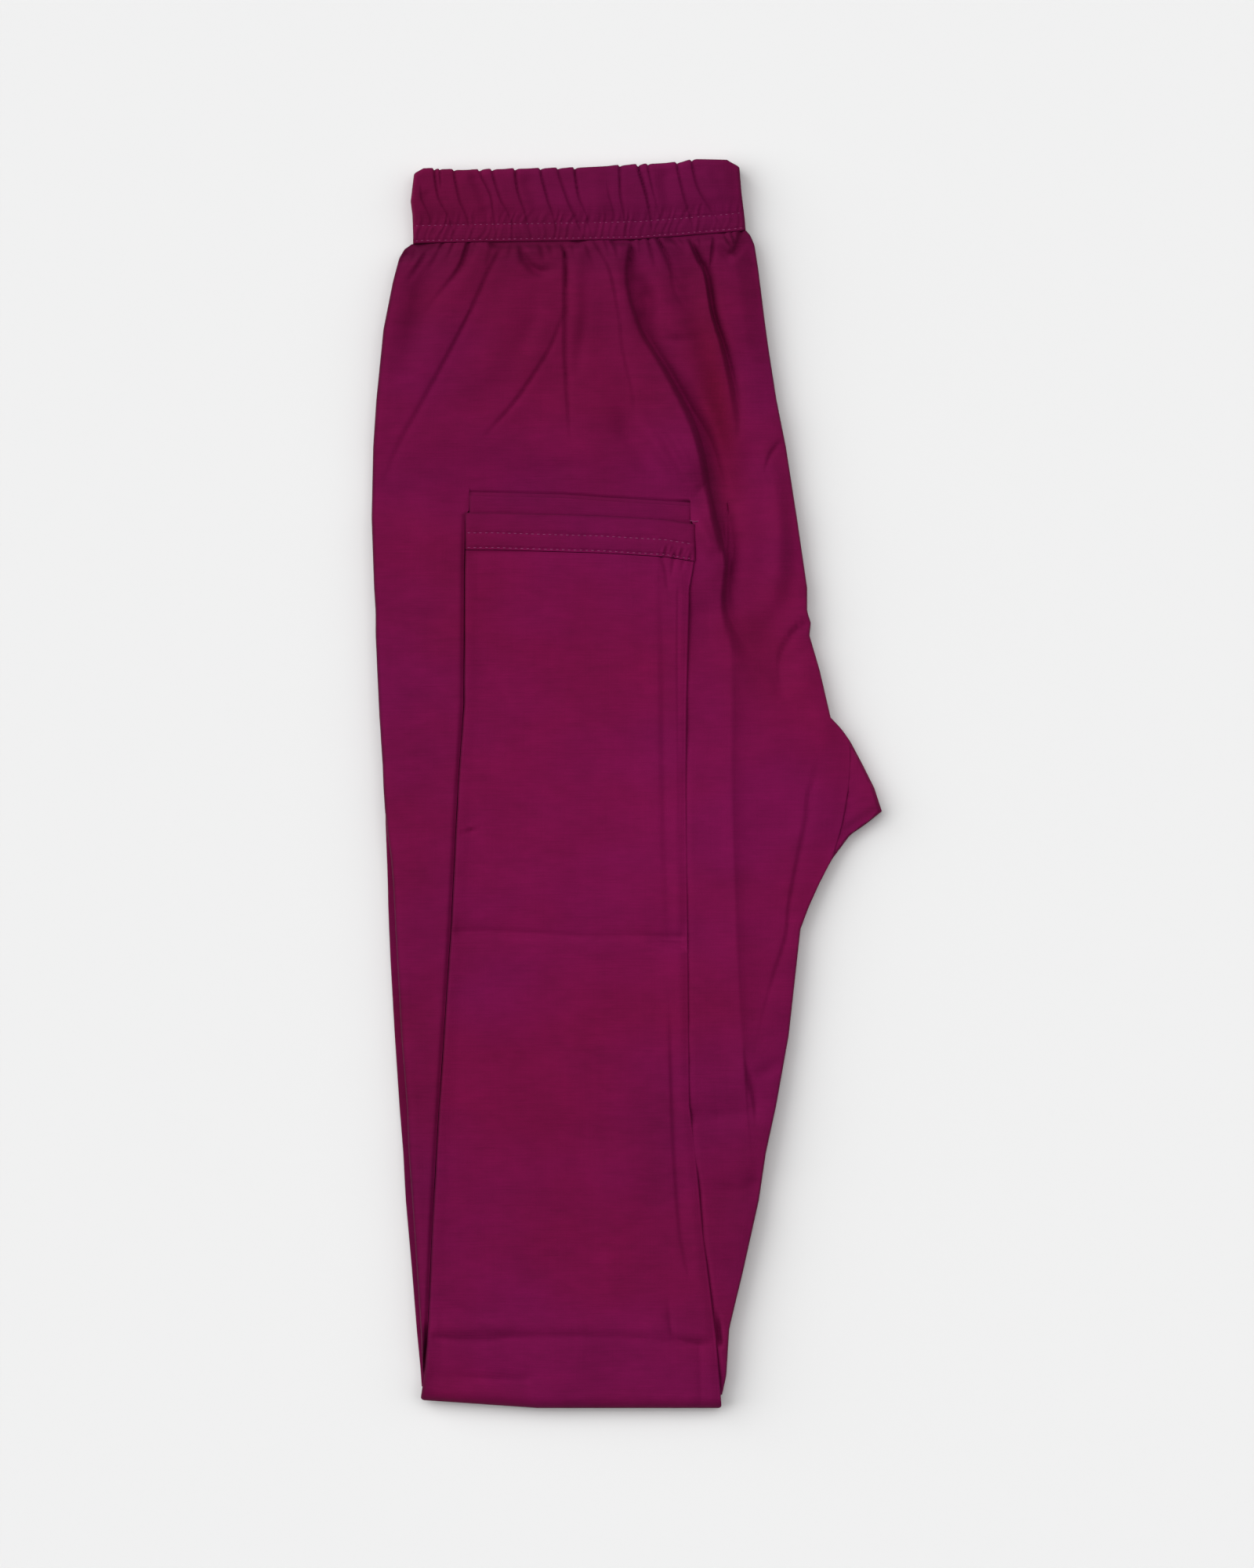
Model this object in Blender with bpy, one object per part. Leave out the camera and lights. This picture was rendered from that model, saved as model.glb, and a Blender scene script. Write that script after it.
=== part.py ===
"""Pull-on trousers in woven slub cotton, folded and lying flat.

The pair is folded in half lengthwise, left leg over right leg, and both shins are then folded
up over the thighs. Seen from above, +Y runs to the waistband, +X to the crotch and +Z up.
The origin is the centre of the footprint, on the surface that the pair lies on.
Sizes and places are in millimetres; MM turns them into Blender's metres.
"""

from collections import namedtuple
from math import cos, exp, hypot, pi, sin

import bmesh
import bpy

MM = 0.001

# Cloth and stack: every piece lies on the one below it with the small gap between them.
GAP = 0.3
CLOTH = 1.2
LEG_LAYER = 1.5
UNDER_LEG_TOP = 2 * LEG_LAYER
UNDER_TOP = 3 * LEG_LAYER
UPPER_BASE = UNDER_TOP + GAP
UPPER_TOP = UPPER_BASE + CLOTH
SHIN_THICKNESS = 2.4
INNER_SHIN_BASE = UPPER_TOP + GAP
OUTER_SHIN_BASE = INNER_SHIN_BASE + SHIN_THICKNESS + GAP
OUTER_SHIN_TOP = OUTER_SHIN_BASE + SHIN_THICKNESS

# Garment lengths: hem depth, waistband stack and the turn at the knee.
HEM_DEPTH = 16.5
HEM_PROUD = 0.4
BAND_UNDER_TOP = 7.0
BAND_BASE = BAND_UNDER_TOP + GAP
BAND_SEAM_THICKNESS = 2.4
BAND_THICKNESS = 4.2
KNEE_END = -278.6
KNEE_RADIUS = OUTER_SHIN_TOP / 2
OUTER_TURN = KNEE_RADIUS - SHIN_THICKNESS / 2
INNER_TURN = OUTER_TURN - SHIN_THICKNESS - GAP

# The gathered cloth stands off the layers below: how far at the waist seam, and how much more
# room it has for its folds above the hems and beside the shins.
PUFF_AT_WAIST = 3.2
FULLNESS_ABOVE = 1.9
FULLNESS_BESIDE = 0.9
WALL_LEAST = 0.9
WALL_MOST = 4.0

# Side edges as (inset from the outline, height): the layered edge of the hidden layers, the
# rolled edge of the upper leg, and the rounded end of a hem or a shin.
LAYERED_EDGE = [(0.9, 0.0), (0.1, 0.75), (0.8, 1.5), (0.1, 2.25), (0.9, UNDER_LEG_TOP)]
ROLLED_EDGE = [(0.8, UNDER_LEG_TOP + GAP), (0.0, 4.2), (0.5, 5.3)]
ROLLED_DEPTH = 2.0
HIDDEN_INSET = 2.3
END_INSETS = [0.0, 0.4, 1.5]

# Plum cotton, a little lighter or darker from piece to piece.
PLUM = (0.147, 0.006, 0.050)
CLOTH_ROUGHNESS = 0.85

Leg = namedtuple("Leg", "y under_left upper_left upper_right under_right")
CROTCH_POINT = -12.2
LEG_OUTLINE = [
    Leg(247.0, -96.5, -96.5, 54.5, 54.0),
    Leg(240.0, -98.0, -98.3, 56.0, 55.6),
    Leg(234.5, -101.4, -101.8, 57.0, 56.6),
    Leg(224.0, -104.2, -104.6, 58.8, 58.4),
    Leg(203.0, -108.4, -108.8, 61.9, 61.5),
    Leg(171.5, -111.6, -112.0, 66.8, 66.4),
    Leg(150.5, -113.0, -113.4, 71.0, 70.6),
    Leg(119.0, -113.7, -114.1, 75.9, 75.5),
    Leg(87.5, -112.6, -113.0, 80.5, 80.1),
    Leg(77.0, -111.9, -112.3, 80.5, 80.1),
    Leg(71.8, -111.9, -112.3, 82.2, 81.8),
    Leg(66.5, -111.9, -112.3, 81.5, 81.1),
    Leg(50.8, -111.2, -111.6, 86.1, 85.7),
    Leg(29.7, -110.2, -110.6, 91.0, 90.8),
    Leg(24.5, -109.8, -110.2, 95.9, 95.7),
    Leg(19.2, -109.5, -109.9, 99.6, 99.8),
    Leg(8.8, -108.8, -109.2, 99.8, 105.3),
    Leg(-1.8, -108.4, -108.8, 99.0, 110.6),
    Leg(CROTCH_POINT, -108.0, -108.1, 97.3, 114.0),
    Leg(-17.5, -108.0, -107.4, 96.3, 107.4),
    Leg(-22.8, -107.8, -107.0, 94.9, 99.8),
    Leg(-33.2, -107.4, -105.4, 91.7, 92.0),
    Leg(-43.8, -107.0, -104.6, 86.2, 86.1),
    Leg(-54.2, -106.8, -104.0, 81.5, 81.2),
    Leg(-64.8, -106.4, -103.5, 77.5, 77.2),
    Leg(-80.5, -105.7, -102.6, 75.8, 75.5),
    Leg(-112.0, -103.9, -100.9, 72.3, 72.0),
    Leg(-143.5, -101.8, -98.4, 66.7, 66.4),
    Leg(-164.5, -100.1, -97.6, 62.1, 61.8),
    Leg(-185.5, -99.0, -96.0, 59.0, 58.7),
    Leg(-217.0, -96.2, -93.9, 52.0, 51.7),
    Leg(-243.2, -94.1, -92.2, 45.7, 45.4),
    Leg(-264.2, -92.4, -91.3, 44.4, 44.1),
    Leg(-275.0, -91.7, -91.0, 42.0, 42.0),
]

# The waistband's lower seam and its gathered top edge, from the side seam to the centre.
Band = namedtuple("Band", "x seam top")
BAND_OUTLINE = [
    Band(-97.0, 241.0, 272.5),
    Band(-92.5, 241.2, 274.8),
    Band(-73.5, 241.5, 274.0),
    Band(-49.0, 241.9, 274.6),
    Band(-23.0, 242.3, 275.0),
    Band(5.0, 242.9, 276.5),
    Band(24.5, 244.4, 277.5),
    Band(30.0, 244.9, 278.9),
    Band(47.0, 246.3, 278.6),
    Band(53.0, 247.0, 275.5),
]

# The knee turn is straight as far as its bend and slants up from there to the outer edge.
Knee = namedtuple("Knee", "x rise")
KNEE_BEND = -40.0
KNEE_LINE = [Knee(-92.0, 3.6), Knee(KNEE_BEND, 0.0), Knee(50.0, 0.0)]

# The folded-up shins, side edges by distance along the leg.
Shin = namedtuple("Shin", "y left right")
OUTER_SHIN = [
    Shin(121.5, -72.1, 30.4),
    Shin(106.4, -72.3, 30.4),
    Shin(98.7, -72.5, 28.7),
    Shin(91.7, -72.6, 26.6),
    Shin(35.0, -72.8, 25.7),
    Shin(0.0, -75.3, 25.6),
    Shin(-62.3, -78.4, 26.4),
    Shin(-143.5, -83.8, 27.3),
    Shin(-162.4, -85.0, 30.5),
    Shin(-200.2, -87.0, 34.0),
    Shin(-247.5, -89.5, 39.9),
    Shin(-279.0, -91.0, 42.0),
]
INNER_SHIN = [
    Shin(131.5, -70.0, 29.6),
    Shin(121.0, -70.6, 28.8),
    Shin(35.0, -71.0, 24.6),
    Shin(-62.3, -76.8, 24.8),
    Shin(-143.5, -81.8, 25.8),
    Shin(-200.2, -85.2, 32.4),
    Shin(-247.5, -87.8, 38.2),
    Shin(-279.0, -89.2, 40.6),
]

# The hem openings, from the outer edge of the leg to the inseam.
Hem = namedtuple("Hem", "x edge")
OUTER_HEM_LINE = [
    Hem(-73.0, 121.1), Hem(-59.0, 121.1), Hem(-11.5, 119.7), Hem(17.0, 118.0), Hem(31.0, 115.8),
]
INNER_HEM_LINE = [Hem(-71.0, 131.3), Hem(-29.0, 130.5), Hem(-9.0, 129.0), Hem(31.0, 126.5)]

# Folds of the upper thigh. Height runs from `top` at the route's first point to `tail` at its
# last: troughs are below zero and ridges above it. Routes go from the waistband downwards.
Fold = namedtuple("Fold", "name top tail half_width route")
THIGH_FOLDS = [
    Fold("side puff", 1.3, 0.2, 11.0, [(-82, 240), (-92, 215), (-103, 180)]),
    Fold("side pucker", -1.6, -0.2, 4.0, [(-71.4, 241), (-75.6, 230), (-85, 218), (-93.5, 207)]),
    Fold("side ridge", 1.2, 0.2, 6.0, [(-62, 240), (-77, 211), (-98, 172)]),
    Fold("long hip crease", -2.0, -0.7, 3.8, [(-55.3, 242), (-70, 211), (-91.4, 171), (-108, 137)]),
    Fold("hip ridge", 1.2, 0.3, 9.0, [(-44, 240), (-56, 205), (-73, 165)]),
    Fold("slant crease", -0.5, -1.1, 3.8, [(-30, 206), (-42.7, 182), (-51, 170), (-65, 154)]),
    Fold("front ridge", 1.0, 0.2, 7.0, [(-36, 240), (-38, 210), (-40, 195)]),
    Fold("middle crease", -2.2, -0.8, 3.8, [(-29.4, 241), (-26.3, 229), (-28, 194), (-25.6, 154)]),
    Fold("middle ridge", 1.1, 0.2, 5.5, [(-23, 240), (-21, 205), (-17, 165)]),
    Fold("short crease", -1.2, -0.2, 3.4, [(-18.9, 242), (-14.4, 231)]),
    Fold("soft crease", -0.5, -0.4, 3.6, [(-19.3, 223), (-19.3, 207), (-22.4, 184)]),
    Fold("front pleat", -1.5, -0.5, 3.8, [(-13.3, 239), (-6.3, 222), (-2, 194), (3.2, 164)]),
    Fold("front pleat ridge", 1.2, 0.4, 6.0, [(-6, 240), (1, 214), (8, 190), (18, 163)]),
    Fold("deep rise fold", -2.6, -2.2, 5.0, [(1.4, 240), (0, 228), (1, 220), (10.5, 197), (25.6, 175)]),
    Fold("deep rise fold, lower", -2.2, -0.9, 5.0, [(25.6, 175), (34, 152), (40.3, 120), (45.2, 106)]),
    Fold("rise fold tail", -0.6, -0.3, 5.0, [(43.6, 90), (42.4, 80), (48.7, 58), (54, 47)]),
    Fold("rise ridge", 1.7, 1.1, 7.0, [(14, 240), (16, 220), (27, 194), (40, 168), (48, 140)]),
    Fold("centre crease", -2.4, -2.0, 4.4, [(26.6, 244), (35, 229), (39.6, 207), (45.5, 188)]),
    Fold("centre crease, lower", -2.0, -0.5, 4.4, [(45.5, 188), (50.4, 171), (49.7, 154)]),
    Fold("centre branch", -1.8, -1.0, 3.6, [(38.9, 246), (36.8, 229)]),
    Fold("centre ridge", 1.3, 0.6, 6.0, [(45, 243), (49, 215), (57, 180), (62, 150)]),
    Fold("rise highlight", 0.4, 0.8, 8.0, [(61, 148), (61.6, 135), (63.7, 103), (59.5, 84)]),
    Fold("edge tuck", -0.7, -0.2, 3.6, [(81.5, 73.5), (70, 62.7), (67, 57)]),
    Fold("press line", -0.5, -0.5, 7.0, [(47, 40), (48.3, -56), (52.2, -121)]),
    Fold("press line end", -0.9, -0.3, 4.0, [(53, -128), (56.7, -149)]),
    Fold("crotch crease", -1.3, -0.9, 4.0, [(83, 3), (79.5, -16), (71.8, -55)]),
    Fold("crotch crease, lower", -0.5, -0.3, 4.5, [(71.8, -55), (64.4, -87), (55, -128)]),
    Fold("short branch", -0.4, -0.4, 4.0, [(56, -131), (69, -124)]),
]

# Press creases and the inseam ridge of the outer shin.
SHIN_FOLDS = [
    Fold("upper press crease", -0.55, -0.55, 3.2, [(-79, -65), (-28, -68), (27, -69)]),
    Fold("lower press crease", -0.6, -0.6, 3.2, [(-89, -244), (0, -246), (40, -250)]),
    Fold("inseam ridge", 0.35, 0.35, 2.6, [(19.5, 90), (21, 0), (24, -66)]),
    Fold("inseam groove", -0.45, -0.35, 3.0, [(15, 0), (17, -66), (19, -140), (24, -205)]),
    Fold("hem pucker", -0.5, 0.0, 2.6, [(14, 102), (18, 88)]),
]

# Pleats of the waistband casing: x at the top edge and at the upper stitch row, and depth.
Pleat = namedtuple("Pleat", "top foot depth")
BAND_PLEATS = [
    Pleat(-92.8, -88.2, 0.6),
    Pleat(-87.5, -78.8, 0.9),
    Pleat(-77.7, -70.7, 0.8),
    Pleat(-65.8, -59.2, 1.1),
    Pleat(-60.9, -51.8, 0.9),
    Pleat(-50.4, -44.5, 0.9),
    Pleat(-39.2, -32.2, 1.0),
    Pleat(-31.5, -20.0, 1.0),
    Pleat(-23.8, -17.2, 0.9),
    Pleat(-9.1, -5.3, 0.5),
    Pleat(-3.5, -1.0, 0.8),
    Pleat(4.2, 10.5, 1.3),
    Pleat(8.8, 12.8, 0.8),
    Pleat(21.7, 28.4, 1.0),
    Pleat(28.4, 39.6, 1.0),
]
PLEAT_HALF_WIDTH = 1.7
PLEAT_STRENGTH = 1.5
GATHER_PITCH = 3.7
GATHER_HEIGHT = 0.4
STITCHED_DEPTH = 9.5


def between(rows, at, field):
    """The value of a field at a place in a table, whose first column may rise or fall."""
    rising = rows[-1][0] > rows[0][0]
    ordered = rows if rising else rows[::-1]
    if at <= ordered[0][0]:
        return getattr(ordered[0], field)
    for low, high in zip(ordered, ordered[1:]):
        if at <= high[0]:
            share = (at - low[0]) / (high[0] - low[0])
            return getattr(low, field) + share * (getattr(high, field) - getattr(low, field))
    return getattr(ordered[-1], field)


def ease(value):
    """A soft step from 0 to 1."""
    value = min(1.0, max(0.0, value))
    return value * value * (3 - 2 * value)


def nearest_on(route, x, y):
    """Distance from a point to a route, and how far along the route the nearest place is."""
    lengths = [hypot(b[0] - a[0], b[1] - a[1]) for a, b in zip(route, route[1:])]
    best = (1e9, 0.0)
    run = 0.0
    for (start, stop), length in zip(zip(route, route[1:]), lengths):
        along = ((x - start[0]) * (stop[0] - start[0]) + (y - start[1]) * (stop[1] - start[1])) / length
        along = min(length, max(0.0, along))
        near_x = start[0] + (stop[0] - start[0]) * along / length
        near_y = start[1] + (stop[1] - start[1]) * along / length
        distance = hypot(x - near_x, y - near_y)
        if distance < best[0]:
            best = (distance, (run + along) / sum(lengths))
        run += length
    return best


def fold_height(folds, x, y):
    """Sum of the folds' soft troughs and ridges at a point."""
    height = 0.0
    for fold in folds:
        distance, share = nearest_on(fold.route, x, y)
        depth = fold.top + (fold.tail - fold.top) * share
        height += depth * exp(-(distance / fold.half_width) ** 2)
    return height


def from_side(x, y):
    """Distance from the nearer side edge of the upper leg."""
    return min(x - between(LEG_OUTLINE, y, "upper_left"), between(LEG_OUTLINE, y, "upper_right") - x)


def puff(x, y):
    """How far the gathered cloth rises to meet the waistband."""
    return PUFF_AT_WAIST * ease((y - 150) / 90) * ease(from_side(x, y) / 26)


def wall_thickness(x, y):
    """The upper leg's cloth with its folds; it lies flat and thin where the shins press on it."""
    above = FULLNESS_ABOVE * ease((y - 133) / 40)
    beside = FULLNESS_BESIDE * ease((x - between(OUTER_SHIN, y, "right") - 3) / 10)
    free = max(above, beside) + fold_height(THIGH_FOLDS, x, y)
    thickness = CLOTH + free * ease(from_side(x, y) / 9)
    if above + beside == 0.0:
        return min(CLOTH, thickness)
    return min(WALL_MOST, max(WALL_LEAST, thickness))


def spread(low, high, count):
    """Evenly spaced values, both ends included."""
    return [low + (high - low) * step / (count - 1) for step in range(count)]


def columns(left, right, count):
    """Nearly even columns from edge to edge, one of them always on the bend of the knee line."""
    first = round(count * 0.38)
    return spread(left, KNEE_BEND, first)[:-1] + spread(KNEE_BEND, right, count - first + 1)


def leg_stations(skip=1):
    """Distances along the thigh, close together where the cloth is gathered.

    The layers below skip some of the stations above the crotch, and share the rest.
    """
    top = spread(240.5, 90.0, 27)[::skip]
    mid = spread(90.0, CROTCH_POINT, 14)[1:] + spread(CROTCH_POINT, -70.0, 8)[1:]
    low = spread(-70.0, KNEE_END + KNEE_RADIUS + GAP, 11)[1:]
    return top + mid + low


def leg_place(x, station):
    """The y of a station line at x: the first follows the waist seam, the last the knee turn."""
    to_seam = between(BAND_OUTLINE, x, "seam") - GAP - 240.5
    to_knee = between(KNEE_LINE, x, "rise")
    return station + to_seam * ease((station - 190) / 50) + to_knee * ease((-240 - station) / 30)


def cap_strip(work, upper, lower):
    """Closes a ring that follows a bent line with a strip of triangles between its two sides."""
    lead = 3.0 * MM
    above, below = 0, 0
    while above < len(upper) - 1 or below < len(lower) - 1:
        step_below = below < len(lower) - 1
        if step_below and above < len(upper) - 1:
            step_below = lower[below + 1].co.x < upper[above + 1].co.x + lead
        if step_below:
            work.faces.new((upper[above], lower[below], lower[below + 1]))
            below += 1
        else:
            work.faces.new((upper[above], lower[below], upper[above + 1]))
            above += 1


def new_piece(name, rings, upper_count=0):
    """A closed solid lofted through rings of equally many points, its two ends capped.

    With an upper count, that many points of each ring run from left to right over its top and
    the rest run back below it. Without one the ends are flat.
    """
    mesh = bpy.data.meshes.new(name)
    work = bmesh.new()
    loops = [[work.verts.new((x * MM, y * MM, z * MM)) for x, y, z in ring] for ring in rings]
    for loop, following in zip(loops, loops[1:]):
        count = len(loop)
        for index in range(count):
            other = (index + 1) % count
            work.faces.new((loop[index], loop[other], following[other], following[index]))
    for loop in (loops[0], loops[-1]):
        if upper_count:
            cap_strip(work, loop[:upper_count], loop[:upper_count - 1:-1])
        else:
            work.faces.new(loop)
    bmesh.ops.recalc_face_normals(work, faces=work.faces)
    work.to_mesh(mesh)
    work.free()
    mesh.shade_smooth()
    mesh.set_sharp_from_angle(angle=0.7)
    piece = bpy.data.objects.new(name, mesh)
    garment.objects.link(piece)
    piece.parent = root
    return piece


def give_cloth(piece, shade):
    """The piece's own matt cotton, a shade lighter or darker than the rest."""
    cotton = bpy.data.materials.new(piece.name + "_cotton")
    cotton.use_nodes = True
    shader = cotton.node_tree.nodes["Principled BSDF"]
    shader.inputs["Base Color"].default_value = (*(channel * shade for channel in PLUM), 1)
    shader.inputs["Roughness"].default_value = CLOTH_ROUGHNESS
    shader.inputs["Metallic"].default_value = 0.0
    piece.data.materials.append(cotton)


def make_right_leg_thigh():
    """Hidden layers: both layers of the right thigh and the lower layer of the left one."""
    rings = []
    for station in leg_stations(skip=2):
        left = between(LEG_OUTLINE, station, "under_left")
        right = between(LEG_OUTLINE, station, "under_right")
        upper_left = max(left, between(LEG_OUTLINE, station, "upper_left"))
        upper_right = min(right, between(LEG_OUTLINE, station, "upper_right"))
        inner_left, inner_right = upper_left + HIDDEN_INSET, upper_right - HIDDEN_INSET
        section = [(left + inset, z) for inset, z in LAYERED_EDGE]
        section += [(inner_left, UNDER_LEG_TOP)]
        section += [(x, UNDER_TOP) for x in columns(inner_left + 0.2, inner_right - 0.2, 9)]
        section += [(inner_right, UNDER_LEG_TOP)]
        section += [(right - inset, z) for inset, z in reversed(LAYERED_EDGE)]
        upper_count = len(section)
        section += [(x, 0.0) for x in reversed(columns(left + 5.0, right - 5.0, 5))]
        ring = []
        for x, z in section:
            y = leg_place(x, station)
            rise = puff(x, y) if z >= UNDER_TOP else 0.0
            ring.append((x, y, z + rise))
        rings.append(ring)
    give_cloth(new_piece("right_leg_thigh", rings, upper_count), 0.92)


def make_left_leg_thigh():
    """The visible wall of the left thigh, its two side edges rolled down round the layers below."""
    rings = []
    for station in leg_stations():
        left = between(LEG_OUTLINE, station, "upper_left")
        right = between(LEG_OUTLINE, station, "upper_right")
        foot = UNDER_LEG_TOP + GAP
        ring = [(left + inset, leg_place(left, station), z) for inset, z in ROLLED_EDGE]
        for x in columns(left + 1.8, right - 1.8, 34):
            y = leg_place(x, station)
            ring.append((x, y, UPPER_BASE + puff(x, y) + wall_thickness(x, y)))
        ring += [(right - inset, leg_place(right, station), z) for inset, z in reversed(ROLLED_EDGE)]
        upper_count = len(ring)
        ring.append((right - ROLLED_DEPTH, leg_place(right, station), foot))
        for x in reversed(columns(left + ROLLED_DEPTH + 0.1, right - ROLLED_DEPTH - 0.1, 9)):
            y = leg_place(x, station)
            ring.append((x, y, UPPER_BASE + puff(x, y)))
        ring.append((left + ROLLED_DEPTH, leg_place(left, station), foot))
        rings.append(ring)
    give_cloth(new_piece("left_leg_thigh", rings, upper_count), 1.0)


def shin_path(base, first, turn_radius, spacing):
    """Stations of a folded-up shin: flat from the hem, then round the knee to the layer below.

    Each station is (distance along y, height of the middle, outward normal in y and z).
    """
    middle = base + SHIN_THICKNESS / 2
    turn_y = KNEE_END + KNEE_RADIUS
    steps = max(2, round((first - turn_y) / spacing))
    path = [(y, middle, 0.0, 1.0) for y in spread(first, turn_y, steps)]
    centre_z = middle - turn_radius
    for step in range(1, 9):
        angle = pi * step / 8
        path.append((turn_y - turn_radius * sin(angle), centre_z + turn_radius * cos(angle),
                     -sin(angle), cos(angle)))
    return path


def make_shin(name, outline, hem_line, path, folds, count, shade):
    """A flat shin, two layers in one rounded slab, that wraps the turn at the knee."""
    half = SHIN_THICKNESS / 2
    rings = []
    for y, z, normal_y, normal_z in path:
        left = between(outline, y, "left")
        right = between(outline, y, "right")
        outer = [(left, 0.0), (left + 0.4, 0.8), (left + 1.5, half)]
        outer += [(x, half) for x in columns(left + 4.0, right - 4.0, count)]
        outer += [(right - 1.5, half), (right - 0.4, 0.8), (right, 0.0)]
        inner = [(right - 0.4, -0.8)]
        inner += [(x, -half) for x in reversed(columns(left + 1.5, right - 1.5, 4))]
        inner += [(left + 0.4, -0.8)]
        ring = []
        for x, out in outer + inner:
            at_y = y
            at_y += (between(hem_line, x, "edge") - HEM_DEPTH - GAP - path[0][0]) * ease((y - 60) / 35)
            at_y += between(KNEE_LINE, x, "rise") * ease((-240 - y) / 30)
            if folds and out == half and normal_z > 0.5:
                out += fold_height(folds, x, at_y)
            ring.append((x, at_y + normal_y * out, max(0.0, z + normal_z * out)))
        rings.append(ring)
    give_cloth(new_piece(name, rings, len(outer)), shade)


def make_hem(name, outline, hem_line, base, top, count, shade):
    """A turned hem at a leg's open end: two lips with the leg's opening as a groove between."""
    middle = (base + top) / 2
    profile = [
        (-HEM_DEPTH, base), (-0.8, base), (0.0, base + 0.6), (-0.2, middle - 0.15),
        (-1.8, middle), (-0.2, middle + 0.15), (0.0, top - 0.6), (-0.8, top),
        (-6.0, top), (-9.1, top - 0.3), (-12.4, top), (-15.4, top - 0.3), (-HEM_DEPTH, top - 0.3),
    ]
    left = between(outline, hem_line[0].edge - 8, "left")
    right = between(outline, hem_line[0].edge - 8, "right")
    places = [left + inset for inset in END_INSETS]
    places += spread(left + 5.0, right - 5.0, count)
    places += [right - inset for inset in reversed(END_INSETS)]
    rings = []
    for x in places:
        from_end = min(x - left, right - x)
        fullness = 0.35 + 0.65 * ease((from_end + 0.4) / 1.9)
        edge = between(hem_line, x, "edge")
        rings.append([(x, edge + y, middle + (z - middle) * fullness) for y, z in profile])
    give_cloth(new_piece(name, rings), shade)


def band_relief(x, share):
    """Height of the casing's pleats and gathers; share is 0 at the seam and 1 at the top edge."""
    stitched = STITCHED_DEPTH / 32
    height = 0.0
    for pleat in BAND_PLEATS:
        rise = (share - stitched) / (1 - stitched)
        line = pleat.foot + (pleat.top - pleat.foot) * rise
        fade = 0.35 + 0.65 * ease((share - 0.12) / 0.25)
        height -= PLEAT_STRENGTH * pleat.depth * fade * exp(-((x - line) / PLEAT_HALF_WIDTH) ** 2)
    gathers = GATHER_HEIGHT * sin(2 * pi * x / GATHER_PITCH) * (1 - ease((share - stitched) / 0.15))
    return height + gathers


def make_waistband_left():
    """The upper half of the gathered casing, thin where it is stitched down and full above."""
    left, right = BAND_OUTLINE[0].x, BAND_OUTLINE[-1].x
    shares = [0.0, 0.10, 0.20, 0.30, 0.42, 0.58, 0.74, 0.88, 0.96]
    rings = []
    for x in spread(left, right, 112):
        seam = between(BAND_OUTLINE, x, "seam")
        top = between(BAND_OUTLINE, x, "top")
        from_end = min(x - left, right - x)
        fullness = 0.45 + 0.55 * ease(from_end / 3.0)
        ring = []
        for share in shares:
            swell = BAND_SEAM_THICKNESS + (BAND_THICKNESS - BAND_SEAM_THICKNESS) * ease((share - 0.2) / 0.25)
            swell *= 1.0 - 0.28 * ease((share - 0.8) / 0.16)
            bump = band_relief(x, share) if from_end > 0.5 else 0.0
            ring.append((x, seam + (top - seam) * share, BAND_BASE + max(1.0, swell + bump) * fullness))
        edge_bump = 0.8 * band_relief(x, 0.9)
        ring.append((x, top + edge_bump, BAND_BASE + 1.3 * fullness))
        ring.append((x, top - 0.9, BAND_BASE))
        ring.append((x, seam, BAND_BASE))
        rings.append(ring)
    give_cloth(new_piece("waistband_left", rings), 0.95)


def make_waistband_right():
    """Hidden layers of the casing in one rounded slab, layered at its edges."""
    low = [(row.x, row.seam) for row in BAND_OUTLINE]
    high = [(row.x, row.top) for row in reversed(BAND_OUTLINE)]
    corners = [(x, y, 1) for x, y in low] + [(x, y, -1) for x, y in high]
    ends = (low[0][0], low[-1][0])
    layer = BAND_UNDER_TOP / 3
    levels = [(0.0, 1.0), (0.3 * layer, 0.2), (0.7 * layer, 0.2)]
    for number in (1, 2):
        levels += [(number * layer, 1.1), ((number + 0.3) * layer, 0.2), ((number + 0.7) * layer, 0.2)]
    levels += [(BAND_UNDER_TOP, 1.0)]
    rings = []
    for z, inset in levels:
        ring = []
        for x, y, inward in corners:
            at_x = min(ends[1] - inset, max(ends[0] + inset, x))
            ring.append((at_x, y + inward * inset, z))
        rings.append(ring)
    give_cloth(new_piece("waistband_right", rings), 0.9)


for leftover in list(bpy.data.objects):
    bpy.data.objects.remove(leftover, do_unlink=True)

garment = bpy.data.collections.new("folded_trousers")
bpy.context.scene.collection.children.link(garment)
root = bpy.data.objects.new("folded_trousers_root", None)
garment.objects.link(root)

make_right_leg_thigh()
make_left_leg_thigh()

inner_start = INNER_HEM_LINE[1].edge - HEM_DEPTH - GAP
inner_path = shin_path(INNER_SHIN_BASE, inner_start, INNER_TURN, 20.0)
make_shin("left_leg_shin", INNER_SHIN, INNER_HEM_LINE, inner_path, [], 8, 0.97)
inner_top = INNER_SHIN_BASE + SHIN_THICKNESS
make_hem("left_leg_hem", INNER_SHIN, INNER_HEM_LINE, INNER_SHIN_BASE, inner_top, 10, 0.98)

outer_start = OUTER_HEM_LINE[1].edge - HEM_DEPTH - GAP
outer_path = shin_path(OUTER_SHIN_BASE, outer_start, OUTER_TURN, 11.0)
make_shin("right_leg_shin", OUTER_SHIN, OUTER_HEM_LINE, outer_path, SHIN_FOLDS, 16, 1.02)
outer_top = OUTER_SHIN_TOP + HEM_PROUD
make_hem("right_leg_hem", OUTER_SHIN, OUTER_HEM_LINE, OUTER_SHIN_BASE, outer_top, 18, 1.03)

make_waistband_right()
make_waistband_left()
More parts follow.
